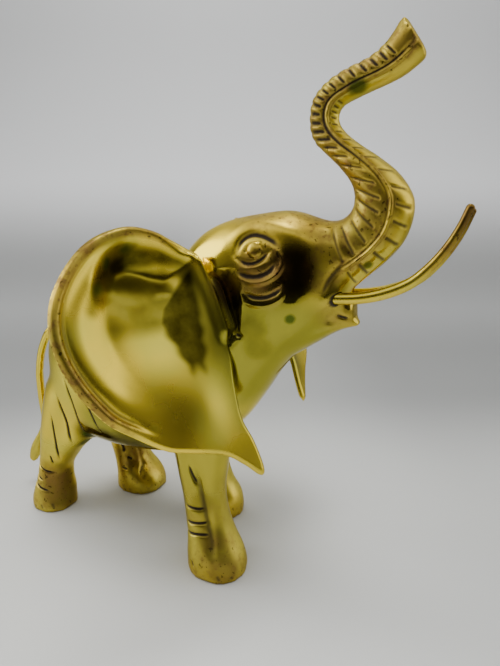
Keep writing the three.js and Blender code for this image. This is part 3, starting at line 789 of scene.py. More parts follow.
@dataclass
class Ear:
    """A wide dished ear: a cast sheet with a rolled rim, a deep bowl and a flap that ends in a tip."""

    side: Side
    turn: float = math.radians(28.4)
    lean: float = math.radians(21.4)
    root: tuple[float, float, float] = (3.3, 8.2, 64.0)
    middle: tuple[float, float] = (11.0, -13.5)
    thickness: float = 2.6
    rim_width: float = 3.6
    rim_rise: float = 1.1
    around: int = 300
    front_rings: int = 46
    back_rings: int = 14
    far_length: float = 0.87
    far_forward: float = 2.3

    def axes(self) -> tuple[np.ndarray, np.ndarray, np.ndarray]:
        """The ear's own directions: off its face, outward and up."""
        sign = self.side.value
        face = np.array([
            math.cos(self.lean) * math.cos(self.turn),
            sign * math.cos(self.lean) * math.sin(self.turn),
            math.sin(self.lean),
        ])
        outward = np.array([-math.sin(self.turn), sign * math.cos(self.turn), 0.0])
        return face, outward, np.cross(face, outward) * sign

    def height(self, a: np.ndarray, b: np.ndarray, edge: np.ndarray) -> np.ndarray:
        """Shapes the face of the ear.

        Args:
            a: How far outward each point is, in hundredths of the height.
            b: How far up.
            edge: How far each point is from the outline.

        Returns:
            How far the face stands out from its plane, in hundredths of the height.
        """
        above_fold = 0.72 * (a - 12.0) + 0.69 * (b + 19.5)
        outer = rise(a, 12.0, 21.0)
        start = 1.5 + 2.9 * outer
        length = 5.8
        depth = 2.1 + 1.8 * rise(b, -11.0, -1.0) - 1.4 * rise(-b, 12.5, 24.0)
        depth = depth * (1 - 0.6 * rise(a, 8.0, 18.0) * rise(-b, -2.0, 6.0))
        bowl = -depth * rise(edge, start, start + length) * rise(above_fold, -6.0, 8.0)
        band = 0.45 * outer * swell(edge - 3.4, 1.9) * rise(b, -27.0, -20.0)
        edge_line = b + 1.2 + 0.16 * (a - 2.0)
        under_rim = rise(a, -1.0, 5.0) * (1 - rise(a, 14.0, 21.0)) * rise(edge_line, -6.0, 1.5)
        hollow = -1.3 * under_rim * rise(edge, 1.4, 4.5)
        flap = 0.9 * swell(np.hypot((a - 6.0) / 5.0, (b + 27.0) / 7.0), 1.0)
        along_front = rise(b, -17.5, -14.5) * (1 - rise(a, 1.6, 4.5)) * (1 - rise(b, -2.0, 1.0))
        ridge = 1.7 * along_front * swell(edge - 1.0, 0.95)
        curl = 0.45 * (a + 2.3) * rise(-b, 26.0, 37.0) if self.side is Side.LEFT else 0.0
        return bowl + band + hollow + flap + ridge + curl

    @staticmethod
    def patina(a: np.ndarray, b: np.ndarray, edge: np.ndarray) -> np.ndarray:
        """How dark the face is painted, from 0 to 1: painted shade and painted dark reflections in the
        hollow under the rim, along the bowl's upper arc, in the wedge by the front ridge and on the flat of
        the bowl.
        """
        flat = np.column_stack([a, b])
        hollow_line = np.array([(2.5, -0.8), (7.0, 0.4), (11.5, 0.6), (14.5, -0.8)])
        arc_line = np.array([(11.0, 2.0), (16.0, -0.8), (19.5, -4.5), (20.8, -8.0)])
        from_hollow, _ = distance_to_path(flat, hollow_line)
        from_arc, _ = distance_to_path(flat, arc_line)
        dark = 0.97 * (1 - rise(from_hollow, 0.4, 3.0))
        dark = np.maximum(dark, 0.75 * (1 - rise(from_arc, 0.0, 2.0)))
        rows = (2.9, 6.0, 9.0, 11.5, 17.0, 22.8)
        middle = np.interp(-b, rows, (1.9, 3.3, 4.9, 5.6, 5.0, 4.8))
        half = np.interp(-b, rows, (0.6, 1.9, 3.5, 3.9, 2.8, 0.9))
        half = half + 0.2 * np.sin(1.7 * b) * rise(-b, 9.0, 14.0)
        wedge = rise(-b, 1.5, 3.5) * (1 - rise(-b + 0.8 * np.sin(1.6 * a), 19.5, 22.5))
        dark = np.maximum(dark, 0.96 * wedge * (1 - rise(np.abs(a - middle) - half, -1.0, 0.7)))
        plane = rise(a, 3.0, 6.0) * (1 - rise(a, 17.5, 20.5))
        plane = plane * rise(b, -14.2, -11.0) * (1 - rise(b, -2.0, 0.0))
        dark = np.maximum(dark, 0.66 * plane)
        return dark * rise(edge, 1.8, 3.0)

    def local(self, points: np.ndarray) -> tuple[np.ndarray, np.ndarray, np.ndarray]:
        """Gives points in the ear's own directions, in hundredths of the height.

        Args:
            points: The points in metres.

        Returns:
            How far each is outward, upward and off the ear's plane.
        """
        face, outward, up = self.axes()
        gap = (points - FORM_SHIFT) / PERCENT - self.start()
        return gap @ outward, gap @ up / self.length(), gap @ face

    def start(self) -> np.ndarray:
        """The top of the ear's root, in hundredths of the height."""
        forward = self.far_forward if self.side is Side.LEFT else 0.0
        root = np.array(self.root) * (1, self.side.value, 1)
        return root + self.axes()[0] * forward

    def length(self) -> float:
        """The ear's length as a share of the right ear's."""
        return self.far_length if self.side is Side.LEFT else 1.0

    def clear(self, skin: Skin) -> None:
        """Presses the body back where it would come through the ear's face.

        Args:
            skin: The body's skin.
        """
        loop = np.array(EAR_OUTLINE + (EAR_OUTLINE[0],), float)
        towards = rise(skin.normals() @ self.axes()[0], 0.1, 0.45)
        for rounds in (6, 3, 0):
            a, b, off = self.local(skin.points)
            near = np.flatnonzero((a > -4) & (a < 24) & (b > -34) & (b < 6) & (off > -8) & (off < 8))
            edge, _ = distance_to_path(np.column_stack([a[near], b[near]]), loop)
            a, b = a[near], b[near]
            at_root = rise(a, -3.6, -0.6) * rise(b, -19.0, -14.0) * (1 - rise(b, -9.0, -3.5))
            inside = np.maximum(at_root, rise(a, 1.0, 4.0) * (1 - rise(b, 0.0, 3.0)))
            wanted = self.height(np.maximum(a, 0), b, np.where(a > 0, edge, 0)) - 0.8
            excess = np.clip(off[near] - wanted, 0, 5) * inside * towards[near]
            skin.points[near] -= self.axes()[0] * (excess * PERCENT)[:, None]
            weight = np.zeros(len(skin.points))
            weight[near] = inside * rise(excess, 0.0, 0.5)
            skin.smooth(rounds, weight)

    def rim(self, a: np.ndarray, b: np.ndarray, edge: np.ndarray) -> tuple[np.ndarray, np.ndarray]:
        """Shapes the rolled rim.

        Args:
            a: How far outward each point is, in hundredths of the height.
            b: How far up.
            edge: How far each point is from the outline.

        Returns:
            The rim's rise in millimetres, and how grimy its inner groove is.
        """
        along = rise(a, 3.0, 8.0) * rise(b, -30.5, -25.0)
        width = self.rim_width / (PERCENT / MM)
        crest = self.rim_rise * np.clip(1 - ((edge - 0.5 * width) / (0.62 * width)) ** 2, 0, 1)
        lower = rise(-b, -2.0, 12.0)
        groove = swell(edge - 1.25 * width, 0.4) * along * (0.15 + 0.45 * lower)
        return crest * along - 0.8 * groove, groove

    def shell(self) -> tuple[Shell, np.ndarray]:
        """Makes the ear's skin.

        Returns:
            The closed skin, and each point's own place: outward, up, and distance from the edge.
        """
        closed = EAR_OUTLINE + (EAR_OUTLINE[0],)
        fine = row_at(closed, np.linspace(0, 1, 2400))
        walked = np.concatenate([[0], np.cumsum(np.linalg.norm(np.diff(fine, axis=0), axis=1))])
        stops = np.arange(self.around) / self.around * walked[-1]
        outline = np.stack([np.interp(stops, walked, fine[:, axis]) for axis in range(2)], 1)
        loop = np.vstack([outline, outline[:1]])
        front = 1 - (1 - np.linspace(0, 1, self.front_rings + 1)[1:]) ** 1.25
        back = (1 - (1 - np.linspace(0, 1, self.back_rings + 1)[1:]) ** 1.25)[::-1]
        rings, own = [], []
        for shares, facing in ((front, 1), (back, -1)):
            for share in shares:
                flat = np.array(self.middle) + (outline - self.middle) * share
                edge, _ = distance_to_path(flat, loop)
                rings.append(self.bent(flat, edge, facing))
                own.append(np.column_stack([flat, edge if facing > 0 else np.full(len(edge), -1.0)]))
        shell = Shell.from_rings(np.stack(rings))
        own_points = np.vstack(own + [np.array([[*self.middle, 9.0], [*self.middle, -1.0]])])
        return shell, own_points

    def bent(self, flat: np.ndarray, edge: np.ndarray, facing: int) -> np.ndarray:
        """Places points of the ear's front or back.

        Args:
            flat: The points outward and up, in hundredths of the height.
            edge: How far each is from the outline.
            facing: 1 for the front and -1 for the back.

        Returns:
            The points in metres.
        """
        face, outward, up = self.axes()
        a, b = flat.T
        height = self.height(a, b, edge)
        base = self.start() + outward * a[:, None] + up * (b * self.length())[:, None]
        base = base + face * height[:, None]
        lift, _ = self.rim(a, b, edge)
        round_off = np.sqrt(np.clip(edge / 0.62, 0, 1))
        if facing > 0:
            lift = lift * round_off - 0.5 * self.thickness * (1 - round_off)
        else:
            lift = -self.thickness + 0.5 * self.thickness * (1 - round_off)
        return base * PERCENT + FORM_SHIFT + face * (lift * MM)[:, None]


@dataclass
class Casting:
    """The whole elephant as one casting: the body and head, four legs, trunk, ears and tail."""

    trunk: Trunk = field(default_factory=Trunk)
    coarse: float = 1.3
    triangles: int = 108000
    eye: tuple[float, float] = (14.4, 65.1)

    def plain(self) -> bpy.types.Object:
        """Makes the smooth figure without its ears and its carving.

        Returns:
            The object.
        """
        body = Form(BODY_RIBS, 2.3).shell(120, 96, 2 * PERCENT, 2.4 * PERCENT)
        parts = [self.trunk.shell(), Form(JAW_RIBS).shell(40, 48, 0, 0.8 * PERCENT)]
        parts.append(Form(LIP_RIBS, 2.6).shell(24, 40, 0, 0.3 * PERCENT))
        for ribs in (RIGHT_HIND_RIBS, LEFT_HIND_RIBS, RIGHT_FRONT_RIBS, LEFT_FRONT_RIBS):
            parts.append(Form(ribs).shell(60, 56, 0, 4 * PERCENT))
        for side in Side:
            parts.append(self.ear_web(side))
            parts.append(self.sheath(side))
        parts.append(self.tail())
        thing = body.joined(parts).to_object("casting_body")
        apply_modifier(thing, "REMESH", mode="VOXEL", voxel_size=self.coarse * MM)
        skin = Skin(thing)
        skin.smooth(28, strongest(self.joins(), skin.points))
        skin.fair(6)
        skin.write()
        apply_modifier(thing, "SUBSURF", levels=1, render_levels=1)
        return thing

    @staticmethod
    def joins() -> list[Zone]:
        """Where the separate forms run into each other softly."""
        zones = [
            Zone(25.0, 0, 68.0, 9.0, 0.9),
            Zone(-36.0, 0, 43.0, 5.0, 0.8),
            Zone(19.0, 0, 50.0, 7.0, 0.8),
            Zone(38.5, 0, 97.5, 6.0, 0.2),
            Zone(-4.6, 0, 58.5, 11.0, 1.0),
        ]
        for y in (-1, 1):
            zones.append(Zone(24.5, 4.8 * y, 58.5, 7.0, 1.0))
            zones.append(Zone(-0.6, 9.5 * y, 56.0, 7.0, 0.9))
            zones.append(Zone(-4.6, 6.0 * y, 57.0, 9.0, 1.0))
            zones.append(Zone(3.0, 9.0 * y, 29.0, 11.0))
            zones.append(Zone(-31.0, 9.0 * y, 30.0, 12.0))
            zones.append(Zone(-30.0, 6.0 * y, 20.0, 9.0))
        return zones

    @staticmethod
    def brown_zones() -> list[Zone]:
        """Where the brass has gone brown."""
        zones = [Zone(29.0, 0, 69.0, 14.0, 0.9), Zone(17.0, 0, 72.0, 13.0, 0.75)]
        for y in (-1, 1):
            zones.append(Zone(16.4, 8.8 * y, 61.5, 7.5, 1.0))
            zones.append(Zone(26.5, 6.0 * y, 62.0, 6.0, 0.7))
            zones.append(Zone(9.2, 8.6 * y, 58.5, 4.0, 0.9))
            zones.append(Zone(28.5, 3.0 * y, 55.5, 6.0, 0.5))
        zones.append(Zone(-37.0, -9.0, 7.0, 7.5, 0.9))
        zones.append(Zone(-26.0, 6.5, 8.0, 9.0, 0.8))
        zones.append(Zone(9.5, -13.5, 4.5, 8.0, 0.7))
        return zones

    @staticmethod
    def painted_shade_zones() -> list[Zone]:
        """Where painted shade gives the brass a darker olive colour: the chest, the belly and the upper
        legs, which mirror the shadowed floor under the body.
        """
        zones = [Zone(-12.0, 0, 18.0, 20.0)]
        for y in (-1, 1):
            zones.append(Zone(17.0, 5.0 * y, 47.0, 20.0))
            zones.append(Zone(5.0, 9.0 * y, 22.0, 18.0, 0.8))
            zones.append(Zone(-16.0, 12.0 * y, 24.0, 14.0))
        return zones

    @staticmethod
    def dark_weights(points: np.ndarray) -> np.ndarray:
        """How dark the brass is painted off the ears, from 0 to 1: painted shade on the belly under the
        near ear, painted shade and dark reflections on the muzzle and cheeks, besides stains on the chest
        and darker patches on the feet and the near front leg.
        """
        # Painted shade on the belly under the near ear's rim.
        belly = [
            Zone(-24.5, -8.6, 23.0, 5.5, 0.85),
            Zone(-19.5, -9.0, 23.8, 4.5, 0.85),
            Zone(-13.5, -9.5, 24.8, 4.5, 0.6),
        ]
        hind_feet = [
            Zone(-37.0, -8.8, 4.0, 4.0, 0.85),
            Zone(-36.4, -8.8, 7.0, 5.0, 0.85),
            Zone(-35.8, -6.6, 3.4, 4.0, 0.75),
            Zone(-37.2, -9.6, 11.4, 4.0, 0.5),
            Zone(-26.6, 6.2, 10.0, 5.0, 0.6),
        ]
        chest = [Zone(14.5, -8.7, 51.0, 3.6, 0.45), Zone(15.2, -7.8, 47.6, 3.4, 0.4)]
        front_leg = [
            Zone(10.5, -13.6, 2.6, 4.0, 0.6),
            Zone(7.6, -13.5, 9.0, 3.6, 0.55),
            Zone(5.6, -12.5, 16.0, 3.0, 0.4),
        ]
        zones = belly + hind_feet + chest + front_leg
        # Painted dark reflections and painted shade on the muzzle and the cheeks.
        for y in (-1, 1):
            zones.append(Zone(21.6, 7.8 * y, 61.8, 5.6, 1.0))
            zones.append(Zone(15.5, 9.2 * y, 59.4, 5.2, 0.55))
            zones.append(Zone(9.2, 9.0 * y, 57.0, 4.4, 0.9))
            zones.append(Zone(28.0, 4.0 * y, 59.6, 3.0, 0.7))
        return strongest(zones, points)

    @staticmethod
    def ear_web(side: Side) -> Shell:
        """The web that carries an ear."""
        sign = side.value
        path = [(-1.0, 3.0 * sign, 58.0), (-1.6, 7.0 * sign, 56.0), (-2.8, 9.6 * sign, 54.0)]
        return rod([place(point) for point in path], lambda t: (4.4 - 2.4 * t) * PERCENT, 20, 32)

    @staticmethod
    def sheath(side: Side) -> Shell:
        """The sheath of the muzzle that a tusk comes out of."""
        sign = side.value
        drop = 0.7 if side is Side.LEFT else 0.0
        mouth = place((27.8, 4.7 * sign, 57.0 - drop))
        cheek = place((19.0, 3.6 * sign, 59.6))
        between = cheek + (mouth - cheek) * 0.55 + np.array([0, 0.6 * sign * PERCENT, 0])
        return rod([cheek, between, mouth], lambda t: (3.4 - 1.55 * rise(t, 0, 0.9)) * PERCENT, 24, 32)

    @staticmethod
    def tail() -> Shell:
        """The tail, with the tuft of hair at its end."""
        def radii(t: np.ndarray) -> np.ndarray:
            """The tail's radius, thicker at its root and in its tuft."""
            root = 1 + 0.6 * (1 - rise(t, 0.05, 0.25))
            tuft = 2.6 * rise(t, 0.8, 0.92) * (1 - 0.7 * rise(t, 0.94, 1))
            return (4.4 * root + tuft) / 2 * MM

        return rod([place(point) for point in TAIL_PATH], radii, 120, 28)

    @staticmethod
    def head_strokes() -> list[Stroke]:
        """The lines of the eyes, the brows and the cheeks."""
        upper_lid = ((11.0, 64.0), (11.7, 66.2), (13.4, 67.3), (15.6, 67.2), (17.6, 66.4), (19.4, 65.2))
        pouch = ((12.6, 59.8), (14.6, 59.4), (17.0, 59.8), (19.0, 61.2), (19.7, 63.2), (18.9, 64.9))
        lines = [
            (((9.0, 66.0), (12.0, 68.8), (15.5, 69.1), (20.0, 68.0), (24.0, 66.8)), 6.5, -1.0, 0.0),
            (upper_lid, 2.4, 0.8, 0.85),
            (((11.4, 63.3), (13.4, 62.6), (15.3, 63.1), (17.2, 64.7)), 1.5, 0.9, 0.95),
            (((13.0, 61.9), (15.4, 62.1), (17.4, 63.3)), 2.0, -0.45, 0.1),
            (((11.2, 61.2), (13.4, 60.5), (15.6, 60.6), (17.5, 61.5), (18.7, 63.2)), 1.8, 0.9, 1.0),
            (pouch, 1.6, -0.6, 0.0),
            (((13.0, 57.5), (15.0, 56.9), (17.2, 57.1), (19.0, 58.0), (20.0, 59.1)), 1.6, 0.9, 1.0),
            (((13.2, 55.9), (15.4, 55.5), (17.6, 55.8), (19.4, 56.8), (20.4, 58.2)), 1.6, -0.4, 0.0),
            (((5.8, 61.0), (7.2, 58.0), (9.2, 53.8), (11.2, 49.8)), 3.4, 1.2, 0.6),
            (((11.2, 49.9), (12.4, 49.6)), 1.6, 0.9, 1.0),
            (((29.7, 63.4), (28.5, 61.9), (27.4, 60.4), (26.7, 58.7), (26.4, 57.2)), 2.2, 0.9, 0.6),
            (((28.0, 54.0), (29.2, 53.5), (30.2, 53.3)), 1.4, 0.6, 0.8),
        ]
        return [Stroke(*line, side=side) for side in Side for line in lines]

    @staticmethod
    def leg_strokes() -> list[Stroke]:
        """The cuts on the thighs and the ankles, and the valleys of the legs."""
        right = [
            (((-28.0, 36.5), (-26.2, 30.3), (-26.6, 22.9)), 1.2, 0.8, 1.0),
            (((-31.6, 32.0), (-29.8, 25.8), (-29.9, 19.5)), 1.2, 0.8, 1.0),
            (((-33.9, 26.9), (-33.5, 21.0), (-34.3, 14.6)), 1.2, 0.8, 1.0),
            (((-24.6, 37.0), (-21.6, 31.0), (-20.6, 25.3)), 1.2, 0.8, 1.0),
            (((-36.2, 15.8), (-36.2, 13.3)), 1.1, 0.7, 1.0),
            (((-42.6, 12.4), (-40.5, 11.6), (-38.8, 11.0), (-36.4, 10.6)), 1.2, 0.9, 1.0),
            (((-42.8, 9.4), (-41.4, 8.8), (-39.6, 8.3)), 1.2, 0.9, 1.0),
            (((-43.2, 7.0), (-41.4, 6.6), (-39.9, 6.2), (-37.8, 5.9)), 1.2, 0.9, 1.0),
            (((3.6, 26.0), (4.4, 22.6), (5.2, 18.9), (6.3, 12.8), (7.4, 8.9), (8.6, 4.0)), 6.0, 1.0, 0.0),
            (((3.8, 24.2), (5.2, 18.9), (6.6, 12.8), (7.9, 8.5), (9.0, 3.0)), 3.4, 1.1, 0.5),
            (((2.6, 23.8), (3.6, 21.4), (4.6, 19.6)), 1.3, 0.7, 0.8),
            (((1.6, 14.6), (4.3, 14.6), (6.3, 14.6)), 1.3, 0.9, 1.0),
            (((1.6, 11.0), (5.0, 11.7), (7.2, 11.9)), 1.3, 0.9, 1.0),
            (((1.5, 8.6), (5.1, 9.5), (7.6, 9.6)), 1.3, 0.9, 1.0),
            (((3.6, 3.6), (4.1, 2.4)), 1.2, 0.8, 1.0),
        ]
        toes = ((-44.2, 2.4), (-42.6, 1.6), (-40.4, 2.2), (-37.6, 2.8), (9.6, 2.2), (11.8, 1.6))
        right += [(((x, high), (x + 0.4, 0.7)), 2.0, 0.35, 0.5) for x, high in toes]
        left = [
            (((-27.0, 36.5), (-25.2, 30.3), (-25.6, 22.9)), 1.2, 0.8, 1.0),
            (((-30.6, 32.0), (-28.8, 25.8), (-28.9, 19.5)), 1.2, 0.8, 1.0),
            (((-33.2, 26.9), (-32.4, 21.0), (-32.2, 14.6)), 1.2, 0.8, 1.0),
            (((-33.0, 11.6), (-30.4, 11.0), (-28.0, 10.8)), 1.2, 0.9, 1.0),
            (((-32.8, 8.8), (-30.4, 8.4), (-27.6, 8.2)), 1.2, 0.9, 1.0),
            (((-32.2, 6.2), (-30.0, 5.9), (-27.4, 5.7)), 1.2, 0.9, 1.0),
            (((-4.2, 25.0), (-3.4, 18.9), (-2.4, 12.8), (-1.4, 8.9), (-0.4, 4.0)), 6.0, 1.4, 0.2),
            (((-7.0, 15.2), (-4.8, 15.2), (-2.6, 15.3)), 1.3, 0.9, 1.0),
            (((-7.0, 12.0), (-4.4, 12.2), (-2.2, 12.6)), 1.3, 0.9, 1.0),
            (((-7.0, 9.4), (-4.2, 9.8), (-1.8, 10.2)), 1.3, 0.9, 1.0),
        ]
        inner = [
            (((-26.0, 15.5), (-25.5, 13.2), (-23.9, 5.9), (-22.2, 3.5)), 2.4, 0.9, 0.5),
            (((-28.4, 13.6), (-27.9, 11.9), (-28.1, 10.6)), 1.5, 0.8, 1.0),
            (((-27.4, 9.4), (-26.2, 8.7)), 1.6, 0.8, 1.0),
            (((-29.0, 6.6), (-26.8, 6.2)), 1.2, 0.7, 0.8),
        ]
        strokes = [Stroke(*line) for line in (*right, *inner)]
        return strokes + [Stroke(*line, side=Side.LEFT) for line in left]

    def eye_relief(self, points: np.ndarray) -> np.ndarray:
        """The balls of the eyes, their sockets and the hollows of the temples, in metres."""
        flat = (points - FORM_SHIFT)[:, [0, 2]] / PERCENT - self.eye
        radius = np.linalg.norm(flat, axis=1) * PERCENT / MM
        ball = 1.5 * np.sqrt(np.clip(1 - (radius / 3.1) ** 2, 0, 1))
        socket = -1.3 * swell(np.hypot((flat[:, 0] - 0.6) / 4.4, (flat[:, 1] + 0.2) / 3.0), 1.0)
        temple = -2.2 * swell(np.hypot((flat[:, 0] - 7.8) / 4.0, (flat[:, 1] + 3.0) / 4.6), 1.0)
        outside = rise(np.abs(points[:, 1]), 8 * MM, 12 * MM)
        return (ball + socket + temple) * outside * MM

    @staticmethod
    def near_trunk(points: np.ndarray) -> np.ndarray:
        """The numbers of the points that are high and forward enough for the trunk."""
        high = points[:, 2] > place((0, 0, 56))[2]
        forward = points[:, 0] > place((20, 0, 0))[0]
        return np.flatnonzero(high & forward)

    def detail(self, skin: Skin) -> np.ndarray:
        """Chooses the vertices where the skin has to be finer."""
        chosen = np.zeros(len(skin.points), bool)
        for sign in (-1, 1):
            chosen |= Zone(15.5, 8.6 * sign, 62.5, 9.0).weight(skin.points) > 0.02
        candidates = self.near_trunk(skin.points)
        t, _, off = self.trunk.addresses(skin.points[candidates])
        chosen[candidates[(t > 0.03) & (t < 0.99) & (off < 3 * MM)]] = True
        tree = skin.tree()
        for stroke in self.leg_strokes():
            route = stroke.route(tree)
            chosen |= stroke.profile(skin.points, route) > 0.02
        return chosen

    def carve(self, thing: bpy.types.Object) -> np.ndarray:
        """Cuts all the carving into the skin.

        Args:
            thing: The plain figure.

        Returns:
            How grimy each vertex is and how far round to the trunk's front, from 0 to 1.
        """
        skin = Skin(thing)
        refine(thing, self.detail(skin))
        skin = Skin(thing)
        skin.smooth(2)
        for side in Side:
            Ear(side).clear(skin)
        push = self.eye_relief(skin.points)
        skin.points += skin.normals() * push[:, None]
        tree = skin.tree()
        normals = skin.normals()
        push = np.zeros(len(skin.points))
        grime = np.zeros(len(skin.points))
        for stroke in self.head_strokes() + self.leg_strokes():
            reached = stroke.profile(skin.points, stroke.route(tree))
            push -= stroke.depth * MM * reached
            grime = np.maximum(grime, stroke.grime * reached)
        on_trunk = self.near_trunk(skin.points)
        trunk_push, trunk_grime, trunk_front = self.trunk.relief(skin.points[on_trunk])
        push[on_trunk] += trunk_push
        grime[on_trunk] = np.maximum(grime[on_trunk], trunk_grime)
        front = np.zeros(len(skin.points))
        front[on_trunk] = trunk_front
        skin.points += normals * push[:, None]
        skin.points[:, 2] = np.maximum(skin.points[:, 2], 0)
        skin.write()
        return np.column_stack([grime, front])

    def build(self) -> bpy.types.Object:
        """Makes the finished casting.

        Returns:
            The object.
        """
        thing = self.plain()
        log.info("plain figure: %d faces", len(thing.data.polygons))
        worn = self.carve(thing)
        marks = NearestValues(Skin(thing).points, worn)
        log.info("carved figure: %d faces", len(thing.data.polygons))
        apply_modifier(thing, "TRIANGULATE")
        apply_modifier(thing, "DECIMATE", ratio=min(1.0, self.triangles / len(thing.data.polygons)))
        ears = {side: Ear(side).shell() for side in Side}
        for shell, _ in ears.values():
            ear = shell.to_object("ear")
            apply_modifier(thing, "BOOLEAN", operation="UNION", solver="MANIFOLD", object=ear)
            bpy.data.objects.remove(ear)
        for side in Side:
            socket = Tusk(side).socket().to_object("socket")
            apply_modifier(thing, "BOOLEAN", operation="DIFFERENCE", solver="MANIFOLD", object=socket)
            bpy.data.objects.remove(socket)
        apply_modifier(thing, "TRIANGULATE")
        log.info("whole casting: %d triangles", len(thing.data.polygons))
        whole = Skin(thing)
        whole.points[:, 2] = np.maximum(whole.points[:, 2], 0)
        whole.write()
        self.mark(thing, marks, ears)
        thing.name = "brass_elephant"
        thing.data.shade_smooth()
        thing.data.set_sharp_from_angle(angle=SHARP_ANGLE)
        return thing

    def mark(self, thing: bpy.types.Object, marks: "NearestValues",
             ears: dict[Side, tuple[Shell, np.ndarray]]) -> None:
        """Writes down for each vertex how grimy and how tarnished it is, and how much shade and dark
        reflection is painted on it.

        Args:
            thing: The casting.
            marks: The grime and the trunk's front of the carved figure without its ears.
            ears: The ears' skins with their own coordinates.
        """
        skin = Skin(thing)
        values, gaps = marks.at(skin.points)
        grime = values[:, 0] * (gaps < 1.2 * MM)
        tarnish = np.zeros(len(skin.points))
        on_ears = np.zeros(len(skin.points))
        deep = np.zeros(len(skin.points))
        for side, (shell, own) in ears.items():
            near, distances = NearestValues(shell.points, own).at(skin.points)
            on_ear = (distances < 0.3 * MM) & (gaps > 0.02 * MM)
            a, b, edge = near.T
            _, groove = Ear(side).rim(a, b, edge)
            along = rise(a, 3.0, 8.0) * rise(b, -30.5, -25.0)
            rim = (1 - rise(edge, 1.5, 2.1)) * along * (edge > -0.5)
            grime = np.where(on_ear, np.maximum(grime, groove * (edge > -0.5)), grime)
            tarnish = np.where(on_ear, np.maximum(tarnish, rim), tarnish)
            # Painted shade and painted dark reflections on the ear's face.
            deep = np.where(on_ear & (edge > -0.5), Ear(side).patina(a, b, edge), deep)
            on_ears = np.maximum(on_ears, on_ear)
        tarnish = np.maximum(tarnish, strongest(self.brown_zones(), skin.points))
        height = skin.points[:, 2] / PERCENT
        low = 0.35 * (1 - rise(height, 12.0, 24.0)) + 0.35 * (1 - rise(height, 1.5, 7.0))
        on_trunk = (skin.points[:, 0] > place((19, 0, 0))[0]) * rise(height, 68.0, 73.0)
        front = values[:, 1] * (gaps < 1.2 * MM)
        tarnish = np.maximum(np.maximum(tarnish, low), 0.85 * on_trunk)
        tarnish *= 1 - 0.75 * front
        # Painted shade: a darker olive where the brass mirrors the shadowed floor under the body.
        shade_film = strongest(self.painted_shade_zones(), skin.points)
        matt = np.maximum(on_trunk, rise(height, 63.0, 68.0))
        matt = np.maximum(matt, 0.75 * (1 - rise(height, 16.0, 26.0)))
        matt = np.maximum(matt, 0.8 * on_ears)
        for y in (-1, 1):
            matt = np.maximum(matt, Zone(15.0, 8.8 * y, 62.0, 6.5, 0.6).weight(skin.points))
            matt = np.maximum(matt, Zone(26.8, 6.0 * y, 62.0, 6.0, 1.0).weight(skin.points))
            matt *= 1 - Zone(21.6, 7.8 * y, 61.8, 5.0, 0.9).weight(skin.points)
        # Painted shade and dark reflections off the ears, with stains on the chest and darker patches on
        # the feet.
        deep = np.maximum(deep, self.dark_weights(skin.points) * (1 - on_ears))
        for side in Side:
            gap = np.linalg.norm(skin.points - Tusk(side).line()[1], axis=1) / MM
            grime = np.maximum(grime, 0.8 * (1 - rise(gap, 2.7, 3.6)))
        write_wear_and_shade(thing, np.column_stack([grime, tarnish, shade_film, matt]), deep)


def write_wear_and_shade(thing: bpy.types.Object, wear: np.ndarray, patina: np.ndarray) -> None:
    """Writes the attributes that the brass reads.

    Args:
        thing: The piece.
        wear: The grime, the tarnish, the darker olive of painted shade and the dullness of each vertex,
            from 0 to 1.
        patina: How dark each vertex is painted, by painted shade, painted dark reflections and dark stains.
    """
    darkness = thing.data.attributes.new("patina", "FLOAT", "POINT")
    darkness.data.foreach_set("value", patina.astype(np.float32))
    layer = thing.data.attributes.new("wear", "FLOAT_COLOR", "POINT")
    layer.data.foreach_set("color", wear.astype(np.float32).ravel())


class NearestValues:
    """Values at scattered points, looked up at the nearest one."""

    def __init__(self, points: np.ndarray, values: np.ndarray) -> None:
        """Stores the points and their values."""
        self.values = values
        self.tree = KDTree(len(points))
        for index, point in enumerate(points):
            self.tree.insert(point, index)
        self.tree.balance()

    def at(self, points: np.ndarray) -> tuple[np.ndarray, np.ndarray]:
        """Looks the values up.

        Args:
            points: Where they are wanted.

        Returns:
            The values, and how far away each was found.
        """
        found = [self.tree.find(point) for point in points]
        indices = np.array([index for _, index, _ in found])
        return self.values[indices], np.array([distance for _, _, distance in found])


